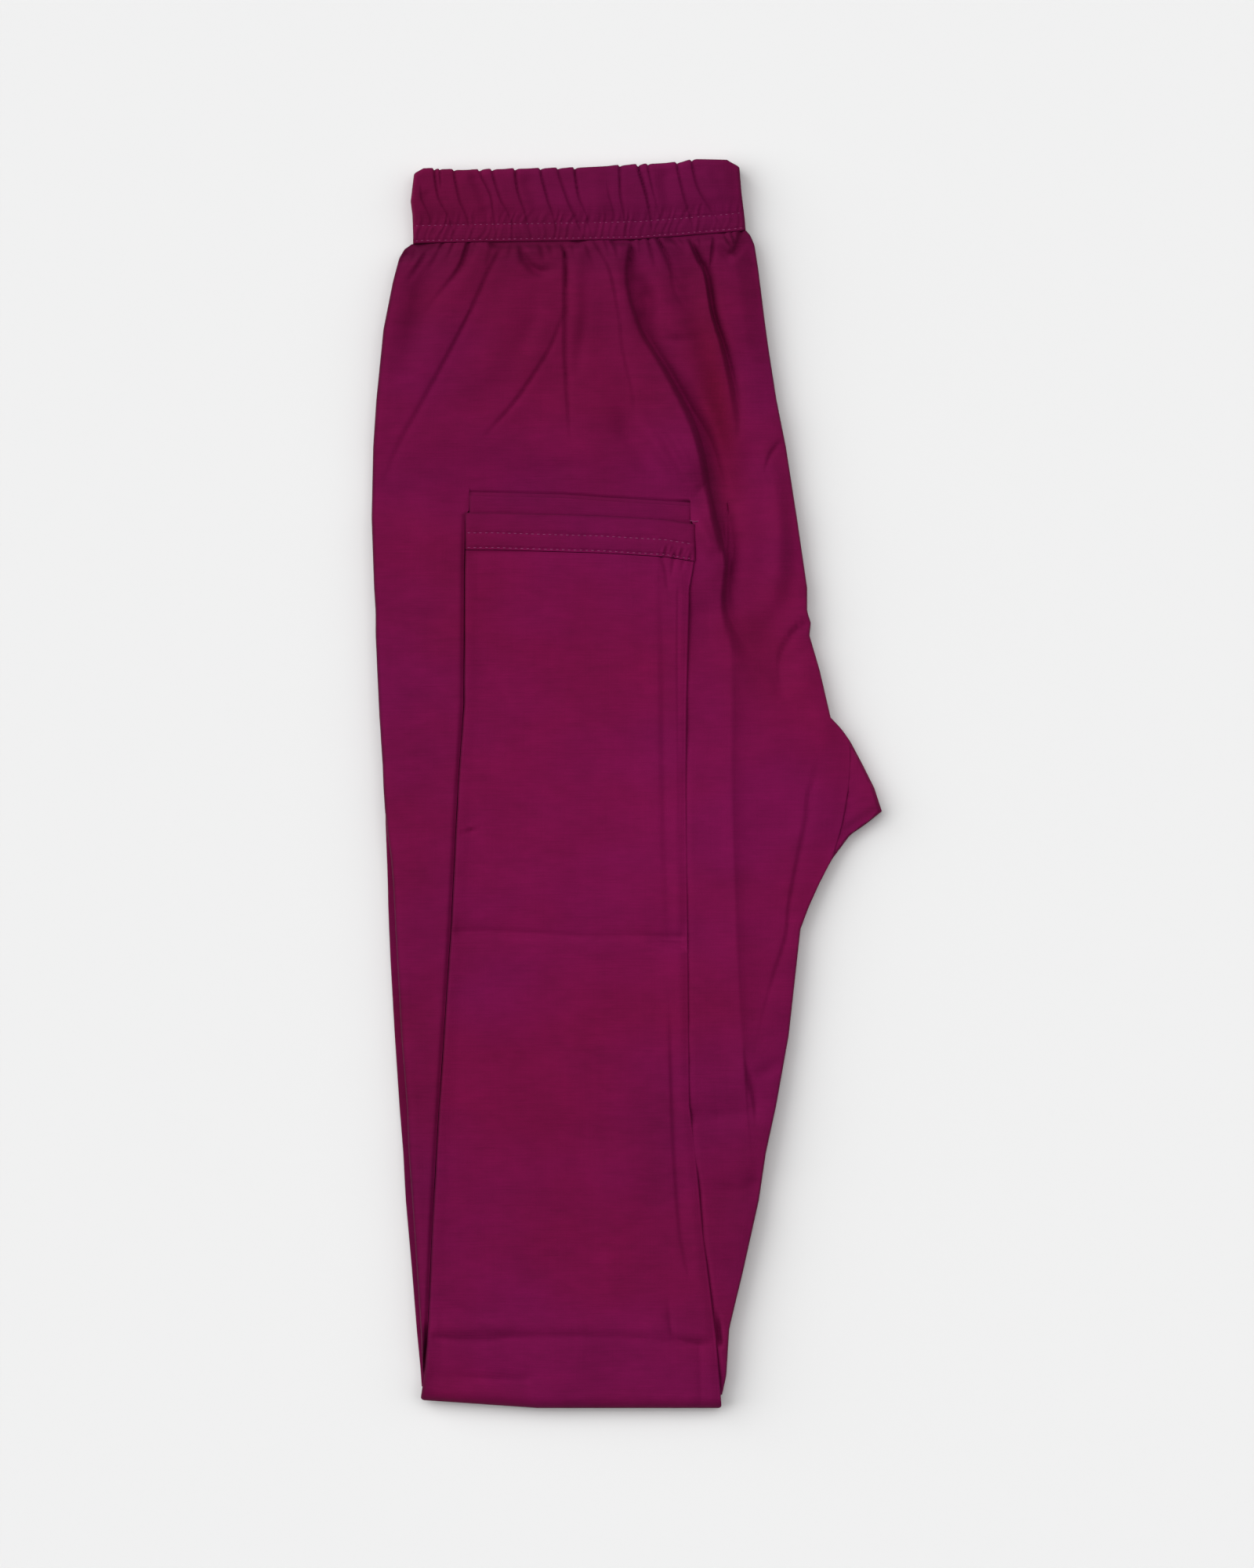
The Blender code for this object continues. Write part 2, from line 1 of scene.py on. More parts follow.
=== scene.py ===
"""Pull-on trousers in woven slub cotton, folded and lying flat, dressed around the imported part.

The pair is folded in half lengthwise, left leg over right leg, and both shins are folded up over
the thighs. +Y runs to the waistband, +X to the crotch and +Z up. Sizes and places are in
millimetres in this script, and MM turns them into metres where a mesh is made.
"""

from collections import namedtuple
from math import pi

import bpy
import numpy as np
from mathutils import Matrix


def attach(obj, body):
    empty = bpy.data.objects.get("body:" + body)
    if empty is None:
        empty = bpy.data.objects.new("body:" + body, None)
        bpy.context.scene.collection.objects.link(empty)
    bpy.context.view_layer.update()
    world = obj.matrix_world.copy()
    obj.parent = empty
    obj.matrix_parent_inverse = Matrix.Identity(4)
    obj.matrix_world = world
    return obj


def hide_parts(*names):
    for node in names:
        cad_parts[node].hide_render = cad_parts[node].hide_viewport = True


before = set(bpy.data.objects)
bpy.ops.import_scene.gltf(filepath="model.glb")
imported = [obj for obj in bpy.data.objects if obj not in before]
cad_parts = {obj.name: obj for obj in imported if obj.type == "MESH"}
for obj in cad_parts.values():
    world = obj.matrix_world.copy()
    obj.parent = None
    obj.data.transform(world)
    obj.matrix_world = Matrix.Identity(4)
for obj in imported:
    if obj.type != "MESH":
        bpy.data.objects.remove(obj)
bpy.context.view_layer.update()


# Hidden layers: both layers of the right thigh and the lower layer of the left one, in slub
# cotton. They lie flat on the surface and show as layered edges, at the left and at the crotch,
# where the right leg's crotch point comes out from under the left leg.
MM = 0.001

Leg = namedtuple("Leg", "y under_left upper_left upper_right under_right")
LEG_EDGES = [Leg(*row) for row in (
    (247, -95, -95, 52.4, 52), (241.2, -95.6, -95.6, 53, 52.6), (238.6, -99.2, -99.4, 55.2, 54.8),
    (234.5, -101.4, -101.8, 57, 56.6), (224, -104.2, -104.6, 58.8, 58.4),
    (203, -108.4, -108.8, 61.9, 61.5), (171.5, -111.6, -112, 66.8, 66.4), (150.5, -113, -113.4, 71, 70.6),
    (119, -113.7, -114.1, 75.9, 75.5), (87.5, -112.6, -113, 80.5, 80.1), (77, -111.9, -112.3, 80.5, 80.1),
    (71.8, -111.9, -112.3, 82.2, 81.8), (66.5, -111.9, -112.3, 81.5, 81.1),
    (50.8, -111.2, -111.6, 86.1, 85.7), (29.7, -110.2, -110.6, 91, 90.8),
    (24.5, -109.8, -110.2, 95.9, 95.7), (19.2, -109.5, -109.9, 99.6, 99.8),
    (8.8, -108.8, -109.2, 99.8, 105.3), (-1.8, -108.4, -108.8, 99, 110.6),
    (-12.2, -108, -108.1, 97.3, 114), (-17.5, -108, -107.4, 96.3, 107.4),
    (-22.8, -107.8, -107, 94.9, 99.8), (-33.2, -107.4, -105.4, 91.7, 92),
    (-43.8, -107, -104.6, 86.2, 86.1), (-54.2, -106.8, -104, 81.5, 81.2),
    (-64.8, -106.4, -103.5, 77.5, 77.2), (-80.5, -105.7, -102.6, 75.8, 75.5),
    (-112, -103.9, -100.9, 72.3, 72), (-143.5, -101.8, -98.4, 66.7, 66.4),
    (-164.5, -100.1, -97.6, 62.1, 61.8), (-185.5, -99, -96, 59, 58.7), (-217, -96.2, -93.9, 52, 51.7),
    (-243.2, -94.1, -92.2, 45.7, 45.4), (-264.2, -92.4, -91.3, 44.4, 44.1), (-275, -91.7, -91, 42, 42),
)]
Band = namedtuple("Band", "x seam top")
BAND_EDGES = [Band(*row) for row in (
    (-97, 241, 272.5), (-92.5, 241.2, 274.8), (-73.5, 241.5, 274), (-49, 241.9, 274.6), (-23, 242.3, 275),
    (5, 242.9, 276.5), (24.5, 244.4, 277.5), (30, 244.9, 278.9), (47, 246.3, 278.6), (53, 247, 275.5),
)]
GAP = 0.3
LAYER = 1.5
UNDER_LEG_TOP = 2 * LAYER
UNDER_TOP = 3 * LAYER
KNEE_END = -278.6
KNEE_RADIUS = 5.7
KNEE_LINE = [(-92.0, 3.6), (-40.0, 0.0), (50.0, 0.0)]
SEAM_STATION = 240.5
THIGH_END = KNEE_END + KNEE_RADIUS + GAP
PUFF_AT_WAIST = 3.2
DEEPEST_TONE = -0.42
WINE = (0.137, 0.0024, 0.0490)
CRIMSON = (0.146, 0.0020, 0.0300)


def ease(value):
    """A soft step from 0 to 1."""
    value = np.clip(value, 0.0, 1.0)
    return value * value * (3 - 2 * value)


def bell(distance, width):
    """A soft hump: 1 in its middle, and about a third of that at a width from it."""
    return np.exp(-(distance / width) ** 2)


def line_at(points, x):
    """Reads a line of given points at x."""
    return np.interp(x, *zip(*points))


def table_at(rows, place, field):
    """Reads a field of a table at many places, straight between its rows."""
    rows = sorted(rows)
    return np.interp(place, [row[0] for row in rows], [getattr(row, field) for row in rows])


def edges_at(rows, place):
    """All fields of a table at many places, but for the first, which says where."""
    return [table_at(rows, place, field) for field in rows[0]._fields[1:]]


def evenly(start, stop, count):
    """So many places in each row, spread evenly from its start to its stop."""
    return start + (stop - start) * np.linspace(0, 1, count)


def sheet_of(x, y, z):
    """Points at these places, filled out to one grid."""
    return np.stack(np.broadcast_arrays(x, y, z), axis=2)


def seam_line(x):
    """The waist seam's y at x."""
    return table_at(BAND_EDGES, x, "seam")


def knee_shift(x, y):
    """How far a line across the leg moves to follow the knee's turn, which is a little askew."""
    return line_at(KNEE_LINE, x) * ease((-240 - y) / 30)


def leg_place(x, station):
    """A station line's y at x: the first follows the waist seam and the last the knee turn."""
    to_seam = seam_line(x) - GAP - SEAM_STATION
    return station + to_seam * ease((station - 190) / 50) + knee_shift(x, station)


def puff(x, y):
    """How far the gathered cloth rises towards the waistband."""
    inside = np.minimum(x - table_at(LEG_EDGES, y, "upper_left"),
                        table_at(LEG_EDGES, y, "upper_right") - x)
    return PUFF_AT_WAIST * ease((y - 150) / 90) * ease(inside / 10)


def wander(x, y, size, seed):
    """Soft unevenness between about -1 and 1, with waves about one size long."""
    draw = np.random.default_rng(seed)
    total = np.zeros(np.broadcast(x, y).shape)
    for _ in range(7):
        angle = draw.uniform(0, pi)
        length = size * draw.uniform(0.65, 1.6)
        phase = draw.uniform(0, 2 * pi)
        total += np.sin(2 * pi * (x * np.cos(angle) + y * np.sin(angle)) / length + phase)
    return total / 3.2


# Painted light and shade as soft ovals: where the share is above zero the cloth's colour is painted
# lighter, as painted light, and where it is below zero it is painted darker, as painted shade. Each
# has its middle, its half width and height, and how far it leans to +X for each mm down the cloth.
Tint = namedtuple("Tint", "name share x y width height lean", defaults=(0,))
PAINTED_OVALS = [
    Tint("crotch", 0.10, 65, -15, 60, 105),
    Tint("middle of the shin", 0.05, -20, -15, 60, 50),
    Tint("left strip", -0.05, -100, -140, 25, 80),
    Tint("left hip", -0.08, -98, 214, 12, 20),
    Tint("beside the rise", -0.07, 25, 196, 18, 26),
    Tint("under the rise", -0.11, 55, 66, 12, 26),
    Tint("beside the allowance", -0.10, 18, 50, 4.5, 38),
    Tint("lower allowance", -0.09, 14, -150, 11, 50),
    Tint("lower right strip", -0.06, 48, -185, 16, 50),
    Tint("band beside the rise fold", -0.09, 40.91, 165, 7, 32, 0.13),
    Tint("foot of the rise fold", -0.26, 38, 133, 3, 20, 0.18),
    Tint("spot left of the foot", -0.05, 31, 133, 5, 10),
    Tint("end of the inner hem", -0.06, 32, 125, 3, 7),
]
# Where crimson is painted into the shade beside the rise fold, turning the wine colour redder there, as one
# more oval.
CRIMSON_PAINTED_SHADE = Tint("crimson beside the rise fold", 0.8, 40.78, 166, 9, 42, 0.13)


def oval(painted_oval, x, y):
    """A soft oval's share at every point."""
    beside = x - painted_oval.x - painted_oval.lean * (painted_oval.y - y)
    return painted_oval.share * np.exp(-(beside / painted_oval.width) ** 2 - ((y - painted_oval.y) / painted_oval.height) ** 2)


def painted_light_and_shade(x, y):
    """Painted light and shade as a share: lighter at the crotch, darker under the waist seam, in the pocket
    at the thigh's upper left corner, under the crotch point and towards the knee.
    """
    # Painted shade: the gathers under the waist seam, the shadowed pocket at the thigh's upper left corner,
    # and the lower edge of the crotch point.
    below = seam_line(x) - y
    gathers = np.where(below > 0, 0.20 * bell(below, 13), 0.11 * bell(below, 7))
    gathers = gathers + 0.07 * ease((y - 150) / 60) * (below > 0)
    shoulder_shadow = 0.14 * np.exp(-((x + 91) / 7) ** 2 - ((y - 238.5 - 0.4 * (x + 91)) / 2.2) ** 2)
    shade_under_tip = 0.18 * bell(y + 11.5 - 0.7 * (x - 108.5), 2) * ease((x - 94) / 4)
    knee_end = 0.035 * ease((-110 - y) / 60)
    return sum(oval(painted_oval, x, y) for painted_oval in PAINTED_OVALS) - gathers - shoulder_shadow - shade_under_tip - knee_end


def put(name, data):
    """A new object in the scene for a mesh, a curve, a light or a camera."""
    thing = bpy.data.objects.new(name, data)
    bpy.context.scene.collection.objects.link(thing)
    return thing


def lofted_cloth(name, outer, inner, rows_run_up=False, along=None, painted_shade=None):
    """A closed piece of cloth between an outer sheet of points and a coarser inner one.

    Both are arrays of rows. Each row runs from left to right, or up the page for a piece that
    is built across. The weave's UV map follows the surface in metres; the column `along` gives the
    cloth's own length at each row where a piece turns over. Its points carry painted light and shade
    for the colour, with more painted shade where a function for it is given, and a crimson colour
    painted into the shade beside the rise fold.
    """
    rows, across = outer.shape[:2]
    rings = np.concatenate([outer, inner[:, ::-1]], axis=1)
    count = rings.shape[1]
    number = np.arange(rows * count).reshape(rows, count)
    ahead = np.roll(number, -1, axis=1)
    quads = np.stack([number[:-1], number[1:], ahead[1:], ahead[:-1]], axis=-1).reshape(-1, 4)
    faces = quads.tolist()
    for ring, turned in ((number[0], False), (number[-1], True)):
        upper, lower = ring[:across].tolist(), ring[across:][::-1].tolist()
        faces += end_strip(rings.reshape(-1, 3), upper, lower, turned)
    points = rings.reshape(-1, 3) * MM
    corner = points[quads]
    normal = np.cross(corner[:, 2] - corner[:, 0], corner[:, 3] - corner[:, 1])
    if (normal * corner.mean(axis=1)).sum() < 0:
        faces = [face[::-1] for face in faces]
    mesh = bpy.data.meshes.new(name)
    mesh.from_pydata(points.tolist(), [], faces)
    ring_axis = 1 if rows_run_up else 0
    lengths = np.linalg.norm(np.diff(rings, axis=1), axis=2)
    ring_run = np.concatenate([np.zeros((rows, 1)), np.cumsum(lengths, axis=1)], axis=1)
    middle = across // 2
    ring_run += (rings[:, middle, ring_axis] - ring_run[:, middle])[:, None]
    row_run = rings[:, :, 1 - ring_axis] if along is None else np.repeat(along, count, axis=1)
    uv = (row_run, ring_run) if rows_run_up else (ring_run, row_run)
    uv = np.stack(uv, axis=-1).reshape(-1, 2) * MM
    layer = mesh.uv_layers.new(name="weave")
    corners = np.empty(len(mesh.loops), dtype=np.int32)
    mesh.loops.foreach_get("vertex_index", corners)
    layer.data.foreach_set("uv", uv[corners].astype(np.float32).ravel())
    x, y = rings.reshape(-1, 3).T[:2]
    # Painted light and shade for the colour at each point, never darker than DEEPEST_TONE.
    tone = painted_light_and_shade(x, y)
    if painted_shade:
        tone -= painted_shade(x, y)
    tone = np.maximum(tone, DEEPEST_TONE)
    for painted_attribute, values in (("painted_light_and_shade", tone), ("crimson_painted_shade", oval(CRIMSON_PAINTED_SHADE, x, y))):
        mesh.attributes.new(painted_attribute, "FLOAT", "POINT").data.foreach_set("value", values.astype(np.float32))
    mesh.shade_smooth()
    mesh.set_sharp_from_angle(angle=1.4)
    return put(name, mesh)


def painted_shade_by_left_edge(rows, field, share):
    """Painted shade along a piece's left folded edge, which turns away from the light."""
    return lambda x, y: share * bell(x - table_at(rows, y, field), 0.9)


def end_strip(points, upper, lower, turned):
    """Triangles that close an end ring between its upper and lower rows of points."""
    triangles = []
    above, below = 0, 0
    run = points[upper[-1]] - points[upper[0]]
    points = points @ run
    while above < len(upper) - 1 or below < len(lower) - 1:
        step_below = below < len(lower) - 1
        if step_below and above < len(upper) - 1:
            step_below = points[lower[below + 1]] < points[upper[above + 1]]
        if step_below:
            triangle = (upper[above], lower[below], lower[below + 1])
            below += 1
        else:
            triangle = (upper[above], lower[below], upper[above + 1])
            above += 1
        triangles.append(triangle if turned else triangle[::-1])
    return triangles


def new_finish(name):
    """A new material, with its node tree and its shader."""
    finish = bpy.data.materials.new(name)
    finish.use_nodes = True
    return finish, finish.node_tree, finish.node_tree.nodes["Principled BSDF"]


def feed(node, inputs):
    """Sets a node's inputs to values, to outputs, or to the first outputs of other nodes."""
    for name, value in inputs.items():
        if isinstance(value, bpy.types.Node):
            value = value.outputs[0]
        if isinstance(value, bpy.types.NodeSocket):
            node.id_data.links.new(value, node.inputs[name])
        else:
            node.inputs[name].default_value = value


def add_node(tree, kind, inputs, **settings):
    """A new node of a tree: first its settings, then its inputs."""
    node = tree.nodes.new(kind)
    for name, value in settings.items():
        setattr(node, name, value)
    feed(node, inputs)
    return node


def shaded(colour, share):
    """A colour made darker or lighter."""
    return (*(channel * share for channel in colour), 1)


SLUB = 0.11


# Each piece's copy of the cotton takes a share `shade` that paints its colour lighter, as painted light, or
# darker, as painted shade: the legs lighter and the waistband darker.
def slub_cotton(name, shade):
    """Woven cotton with uneven threads: weft slubs, fainter warp streaks and a drifting hue, on top of the
    painted light and shade and the crimson painted shade that the cloth's points carry.
    """
    cloth, tree, shader = new_finish(name)
    weave = add_node(tree, "ShaderNodeUVMap", {}, uv_map="weave")

    def threads(across, along, detail=2, shift=0):
        """Noise stretched to so many cycles a metre across and along the cloth."""
        stretch = add_node(tree, "ShaderNodeMapping", {
            "Vector": weave, "Scale": (across, along, 1), "Location": (shift, shift, 0)})
        return add_node(tree, "ShaderNodeTexNoise", {"Vector": stretch, "Scale": 1, "Detail": detail})

    def painted_attribute(attribute):
        """A share of painted light and shade that the cloth's points carry."""
        return add_node(tree, "ShaderNodeAttribute", {}, attribute_name=attribute).outputs["Fac"]

    def sum_of(total, *parts):
        """A start and each part times its share, added up."""
        for part, share in parts:
            total = add_node(tree, "ShaderNodeMath", {0: part, 1: share, 2: total}, operation="MULTIPLY_ADD")
        return total

    weft = threads(55, 1300)
    short_weft = threads(140, 2300, shift=7)
    warp = threads(1500, 26, shift=3)
    mottle = threads(130, 240, shift=23)
    patches = threads(36, 56, detail=3, shift=11)
    # The brightness ends with the painted light and shade carried by the cloth's points.
    brightness = sum_of(0.58 - 0.85 * SLUB, (weft, 1.7 * SLUB), (short_weft, 0.9 * SLUB), (mottle, 0.22),
                        (warp, 0.9 * SLUB), (patches, 0.30), (painted_attribute("painted_light_and_shade"), 1))
    spread = add_node(tree, "ShaderNodeMapRange", {
        "Value": threads(9, 13, detail=3, shift=19), "From Min": 0.35, "From Max": 0.65, "To Max": 0.5})
    # The spread is a random mix of wine and crimson; the crimson share that the points carry is painted into
    # the shade beside the rise fold.
    dye = add_node(tree, "ShaderNodeMix", {
        "Factor": sum_of(spread, (painted_attribute("crimson_painted_shade"), 1)), "A": shaded(WINE, shade),
        "B": shaded(CRIMSON, shade)}, data_type="RGBA")
    colour = add_node(tree, "ShaderNodeVectorMath", {0: dye.outputs["Result"], "Scale": brightness},
                      operation="SCALE")
    height = sum_of(weft, (short_weft, 0.8), (threads(2000, 300, shift=5), 0.5), (warp, 0.4))
    bump = add_node(tree, "ShaderNodeBump", {"Strength": 0.5, "Distance": 0.00022, "Height": height})
    feed(shader, {"Roughness": 0.86, "Specular IOR Level": 0.08, "Sheen Weight": 0.02,
                  "Sheen Roughness": 0.5, "Sheen Tint": (0.75, 0.25, 0.55, 1),
                  "Base Color": colour, "Normal": bump})
    return cloth


def dress(piece, material, node):
    """Gives a finished piece its cloth and its place in the frame, instead of the CAD node's."""
    piece.data.materials.append(material)
    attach(piece, "root")
    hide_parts(node)


def layered_side(layers, thickness, turns, inset, swell):
    """The side of stacked layers as insets and heights: each layer's fold is rounded."""
    angle = np.tile(np.radians(turns), layers)
    layer = np.repeat(np.arange(layers), len(turns))
    return inset + 0.7 * (1 - np.cos(angle)), (layer + 0.5 + swell * np.sin(angle)) * thickness


HIDDEN_STATIONS = np.concatenate([np.linspace(SEAM_STATION, 40, 70)[:-1],
                                  np.linspace(40, -60, 70)[:-1], np.linspace(-60, THIGH_END, 80)])[:, None]
TIP_LIFT = 4.2
SIDE_IN = 1.2
WALL_FOOT = 2.3
WALL_TOP = 2.6


def at_crotch(y):
    """1 beside the crotch point and 0 further up and down the leg."""
    return ease((y + 62) / 20) * ease((30 - y) / 14)


side_in, side_z = layered_side(2, LAYER, np.linspace(-70, 70, 5), 0.1, 0.5 / np.sin(np.radians(72)))
left, upper_left, upper_right, right = edges_at(LEG_EDGES, HIDDEN_STATIONS)
upper_left, upper_right = np.maximum(left, upper_left), np.minimum(right, upper_right)
x = np.hstack([left + side_in, evenly(left + SIDE_IN, upper_left + WALL_FOOT, 4),
               evenly(upper_left + WALL_TOP, upper_right - WALL_TOP, 14),
               evenly(upper_right - WALL_FOOT, right - SIDE_IN, 14), right - side_in[::-1]])
face_z = np.repeat([UNDER_LEG_TOP, UNDER_TOP, UNDER_LEG_TOP], [4, 14, 14])
z = np.concatenate([side_z, face_z, side_z[::-1]])
y = leg_place(x, HIDDEN_STATIONS)
at_tip = (z == UNDER_LEG_TOP) & (x > upper_right - 1.2)
lift = (TIP_LIFT + 0.5) * at_crotch(y) * (0.95 + 0.05 * ease((right - x) / 5))
lift += 0.15 * wander(x, y, 9, 5) - 0.15
z = z + np.where(at_tip, lift, 0) + np.where(z == UNDER_TOP, puff(x, y), 0)
flat_x = evenly(left + 1.4, right - 1.4, 6)
hidden_layers = lofted_cloth("hidden_layers", sheet_of(x, y, z),
                             sheet_of(flat_x, leg_place(flat_x, HIDDEN_STATIONS), 0),
                             painted_shade=painted_shade_by_left_edge(LEG_EDGES, "under_left", 0.32))
# The hidden layers' colour is painted lighter, as painted light.
dress(hidden_layers, slub_cotton("hidden_slub_cotton", 1.10), "right_leg_thigh")


# Waistband, under layers: the right half of the casing and the lower half of the left one, with
# the elastic inside. They lie below the visible casing and show only as layered edges.
BAND_UNDER_TOP = 7.0
BAND_LAYERS = 4


def end_slant(x, rise):
    """How far the casing's two ends lean in or out at a height above the seam."""
    left = np.interp(rise, [0, 12, 19, 31], [1.5, 1.5, 0.4, 1.9])
    right = np.interp(rise, [0, 5, 18, 31], [0.0, -0.4, -2.0, -3.0])
    near_left = ease((BAND_EDGES[0].x + 22 - x) / 22)
    near_right = ease((x - BAND_EDGES[-1].x + 22) / 22)
    return left * near_left + right * near_right


def slanted(x, y, z, seam):
    """A sheet of points whose two ends lean as the casing's do."""
    return sheet_of(x + end_slant(x, y - seam), y, z)


def band_under_layers():
    """Four stacked layers whose edges are rounded, with the seam and the top edge alike."""
    x = np.linspace(BAND_EDGES[0].x, BAND_EDGES[-1].x, 120)[:, None]
    seam, top = edges_at(BAND_EDGES, x)
    side_in, side_z = layered_side(BAND_LAYERS, BAND_UNDER_TOP / BAND_LAYERS, (-65, -30, 0, 30, 65),
                                   0.15, 0.48 / np.sin(np.radians(65)))
    from_end = np.minimum(x - x[0], x[-1] - x)
    top_edge = top - 0.6 - 0.8 * (1 - ease(from_end / 2)) + 0.3 * np.sin(2 * pi * x / 6.3)
    ring_y = np.hstack([seam + side_in, evenly(seam + 2, top - 3, 4), top_edge - side_in[::-1]])
    ring_z = np.concatenate([side_z, np.full(4, BAND_UNDER_TOP), side_z[::-1]])
    return slanted(x, ring_y, ring_z, seam), slanted(x, evenly(seam + 1, top - 2, 3), 0, seam)


waistband_under = lofted_cloth("waistband_under_layers", *band_under_layers(), rows_run_up=True)
# The casing's under layers are painted darker, as painted shade.
dress(waistband_under, slub_cotton("waistband_under_cotton", 0.85),
      "waistband_right")


# Left thigh: the visible layer of the trousers' left leg, slub cotton, cut in one with no side
# seam. Its side edges are rolled folds, the waistband gathers it, and its folds run down from
# the gathers to the crotch and the hip. The shins press it flat where they lie on it.
UPPER_BASE = UNDER_TOP + GAP
CLOTH = 1.2
THINNEST = 0.5
FULLNESS = 2.3
LEFT_LIFT = 3.8
RIGHT_LIFT = 1.6
LEFT_GAP = 0.1
RIGHT_GAP = -0.55
WALL = 0.06
ROLL_REACH = 0.8
ROLL_FOOT = UNDER_LEG_TOP + GAP

Shin = namedtuple("Shin", "y left right")
OUTER_SHIN = [Shin(*row) for row in (
    (131.5, -70.2, 28.8), (121.9, -70.5, 28.8), (121.3, -72.1, 28.8), (116.8, -72.2, 28.9),
    (116, -72.2, 30.4), (106.4, -72.3, 30.4), (98.7, -72.5, 29.2), (91.7, -72.6, 27.9), (35, -72.8, 26.7),
    (0, -75.3, 26.5), (-62.3, -78.4, 27.2), (-143.5, -83.8, 28), (-162.4, -85, 30.5), (-200.2, -87, 34),
    (-247.5, -89.1, 39.9), (-264, -90, 41.2), (-279, -92.3, 42.3),
)]
HEM_TOP = 131
INNER_HEM_LINE = [(-71, 130.4), (-29, 129.4), (-9, 128), (31, 125.6)]

# A tuck is cloth folded over itself: a lip, a steep fall centred on its route, then a rise.
# Drops are given at even steps along the route, which runs from the waistband downwards.
Tuck = namedtuple("Tuck", "name drops fall rise lip lip_reach route")
LIP_CREST = 0.4
TUCKS = [
    Tuck("long hip fold", (0.8, 1, 1.1, 1.1, 0.9, 0.7, 0.3), 0.9, 5, 0.3, 3.5,
         [(-55, 242), (-61.5, 230), (-70, 211.5), (-79, 194), (-91.5, 171), (-102, 152), (-108, 137)]),
    Tuck("its branch", (0.5, 0.4, 0), 1, 3, 0.2, 3, [(-60, 242), (-62, 235), (-64, 226)]),
    Tuck("side pucker", (2.8, 2.2, 0.8, 0.4, 0), 1.8, 7, 0.7, 5,
         [(-71.5, 241), (-75.5, 230), (-85, 218), (-93.5, 207)]),
    Tuck("slant fold", (0.2, 0.6, 0.9, 1, 1, 0.8, 0), 0.9, 4, 0.4, 6,
         [(-27, 214), (-30, 206), (-35, 194), (-42.5, 182), (-51, 170), (-65, 154)]),
    Tuck("front fold", (2.8, 2.4, 1.8, 1.5, 1.3, 0.9, 0), 1.1, 5, 0.5, 4.5,
         [(-29.5, 241), (-28.3, 236.5), (-27.9, 229), (-28, 213.5), (-28, 194.5), (-27.3, 177.5),
          (-25.6, 153)]),
    Tuck("short fold", (1.3, 0.9, 0), 1.2, 3, 0.5, 3, [(-19, 242), (-17.2, 236.5), (-14, 230)]),
    Tuck("front pleat", (1.3, 1.1, 0.8, 0.6, 0.6, 0.4, 0), 1.2, 5, 0.6, 6,
         [(-13.3, 239), (-8.8, 231), (-6.3, 222), (-3.2, 205), (-2.1, 194), (2.1, 175), (3.5, 162)]),
    Tuck("deep rise fold", (3, 3.4, 3.4, 3.6, 4.4, 5.2, 6.2, 7, 7.4, 7.6, 7.2, 4.8),
         (1.8, 2.2, 2.4, 2.8, 3.4, 3.8, 4.4, 5.2, 5.8, 6, 5.4, 4.2), 10, 3.2, 8,
         [(1.75, 242), (0, 229), (1, 219), (3.5, 210), (7, 201), (12.2, 192.5), (17.5, 184), (23.6, 173),
          (28.6, 163), (32.2, 154), (34.9, 143.5), (36.6, 133), (38.8, 122.5), (40.8, 113), (42.6, 105)]),
    Tuck("deep rise fold, lower", (1.8, 4.2, 5, 5, 4.4, 3.4, 2.4, 1.2, 0),
         (2.8, 2.8, 2.8, 3.2, 4.5, 7, 9, 10), 13, 1, 8,
         [(44.8, 121), (45.4, 106), (44.1, 92), (43.4, 82), (44.6, 74), (48, 65), (53, 55), (60, 46)]),
    Tuck("end of the rise fold", (0.2, 1, 1.2, 0.8, 0), 10, 14, 0.1, 5,
         [(52, 76), (57, 64), (62, 52), (70, 44)]),
    Tuck("centre fold", (2.2, 4.4, 5.6, 6, 5.4, 4.8, 4, 2.8, 1.4, 0),
         (1.6, 1.8, 2, 2.2, 3, 3.8, 4.4, 3.6), 6.5, 1.3, 5,
         [(26.6, 245), (29.4, 238.5), (31.9, 233), (34.9, 227.5), (38, 210), (42.4, 196), (45.2, 185),
          (47.3, 175), (49, 163), (49.3, 153)]),
    Tuck("centre branch", (2, 1.8, 0.8), 1.5, 4, 0.4, 3, [(39, 247), (37.8, 238.5), (36.8, 229)]),
    Tuck("thin crease", (1.4, 1, 0.7, 0.5, 0.4, 0), 1, 3, 0.3, 3,
         [(13.3, 243), (17.2, 236.6), (19.3, 229.6), (21, 219.8), (25.9, 211.8), (31.5, 209.7)]),
    Tuck("edge whisker", (0, 0.9, 0.8, 0), 1.1, 4, 0.4, 3, [(69.5, 155), (64, 148), (62, 143), (61, 138)]),
    Tuck("rise tuck", (1.2, 1.1, 1, 0.6, 0.3, 0), 1.2, 6, 0.5, 5,
         [(82, 74), (75.3, 70), (70, 62.7), (67.5, 56), (68, 46), (71, 38)]),
    Tuck("crotch fold", (0.2, 0.8, 0.9, 0.9, 0.8, 0.7, 0.3, 0.1, 0), 0.8, 8, 0.25, 4,
         [(84, 8), (82, 0), (80.3, -6), (79.5, -16), (75, -37), (71.8, -55), (70.5, -68),
          (64.5, -87), (59.5, -106), (55, -128)]),
    Tuck("knee fold", (0.4, 1.8, 1.5, 0), 1.2, 5, 0.5, 4,
         [(52.2, -121), (53.4, -131), (56, -140), (57.4, -151)]),
]

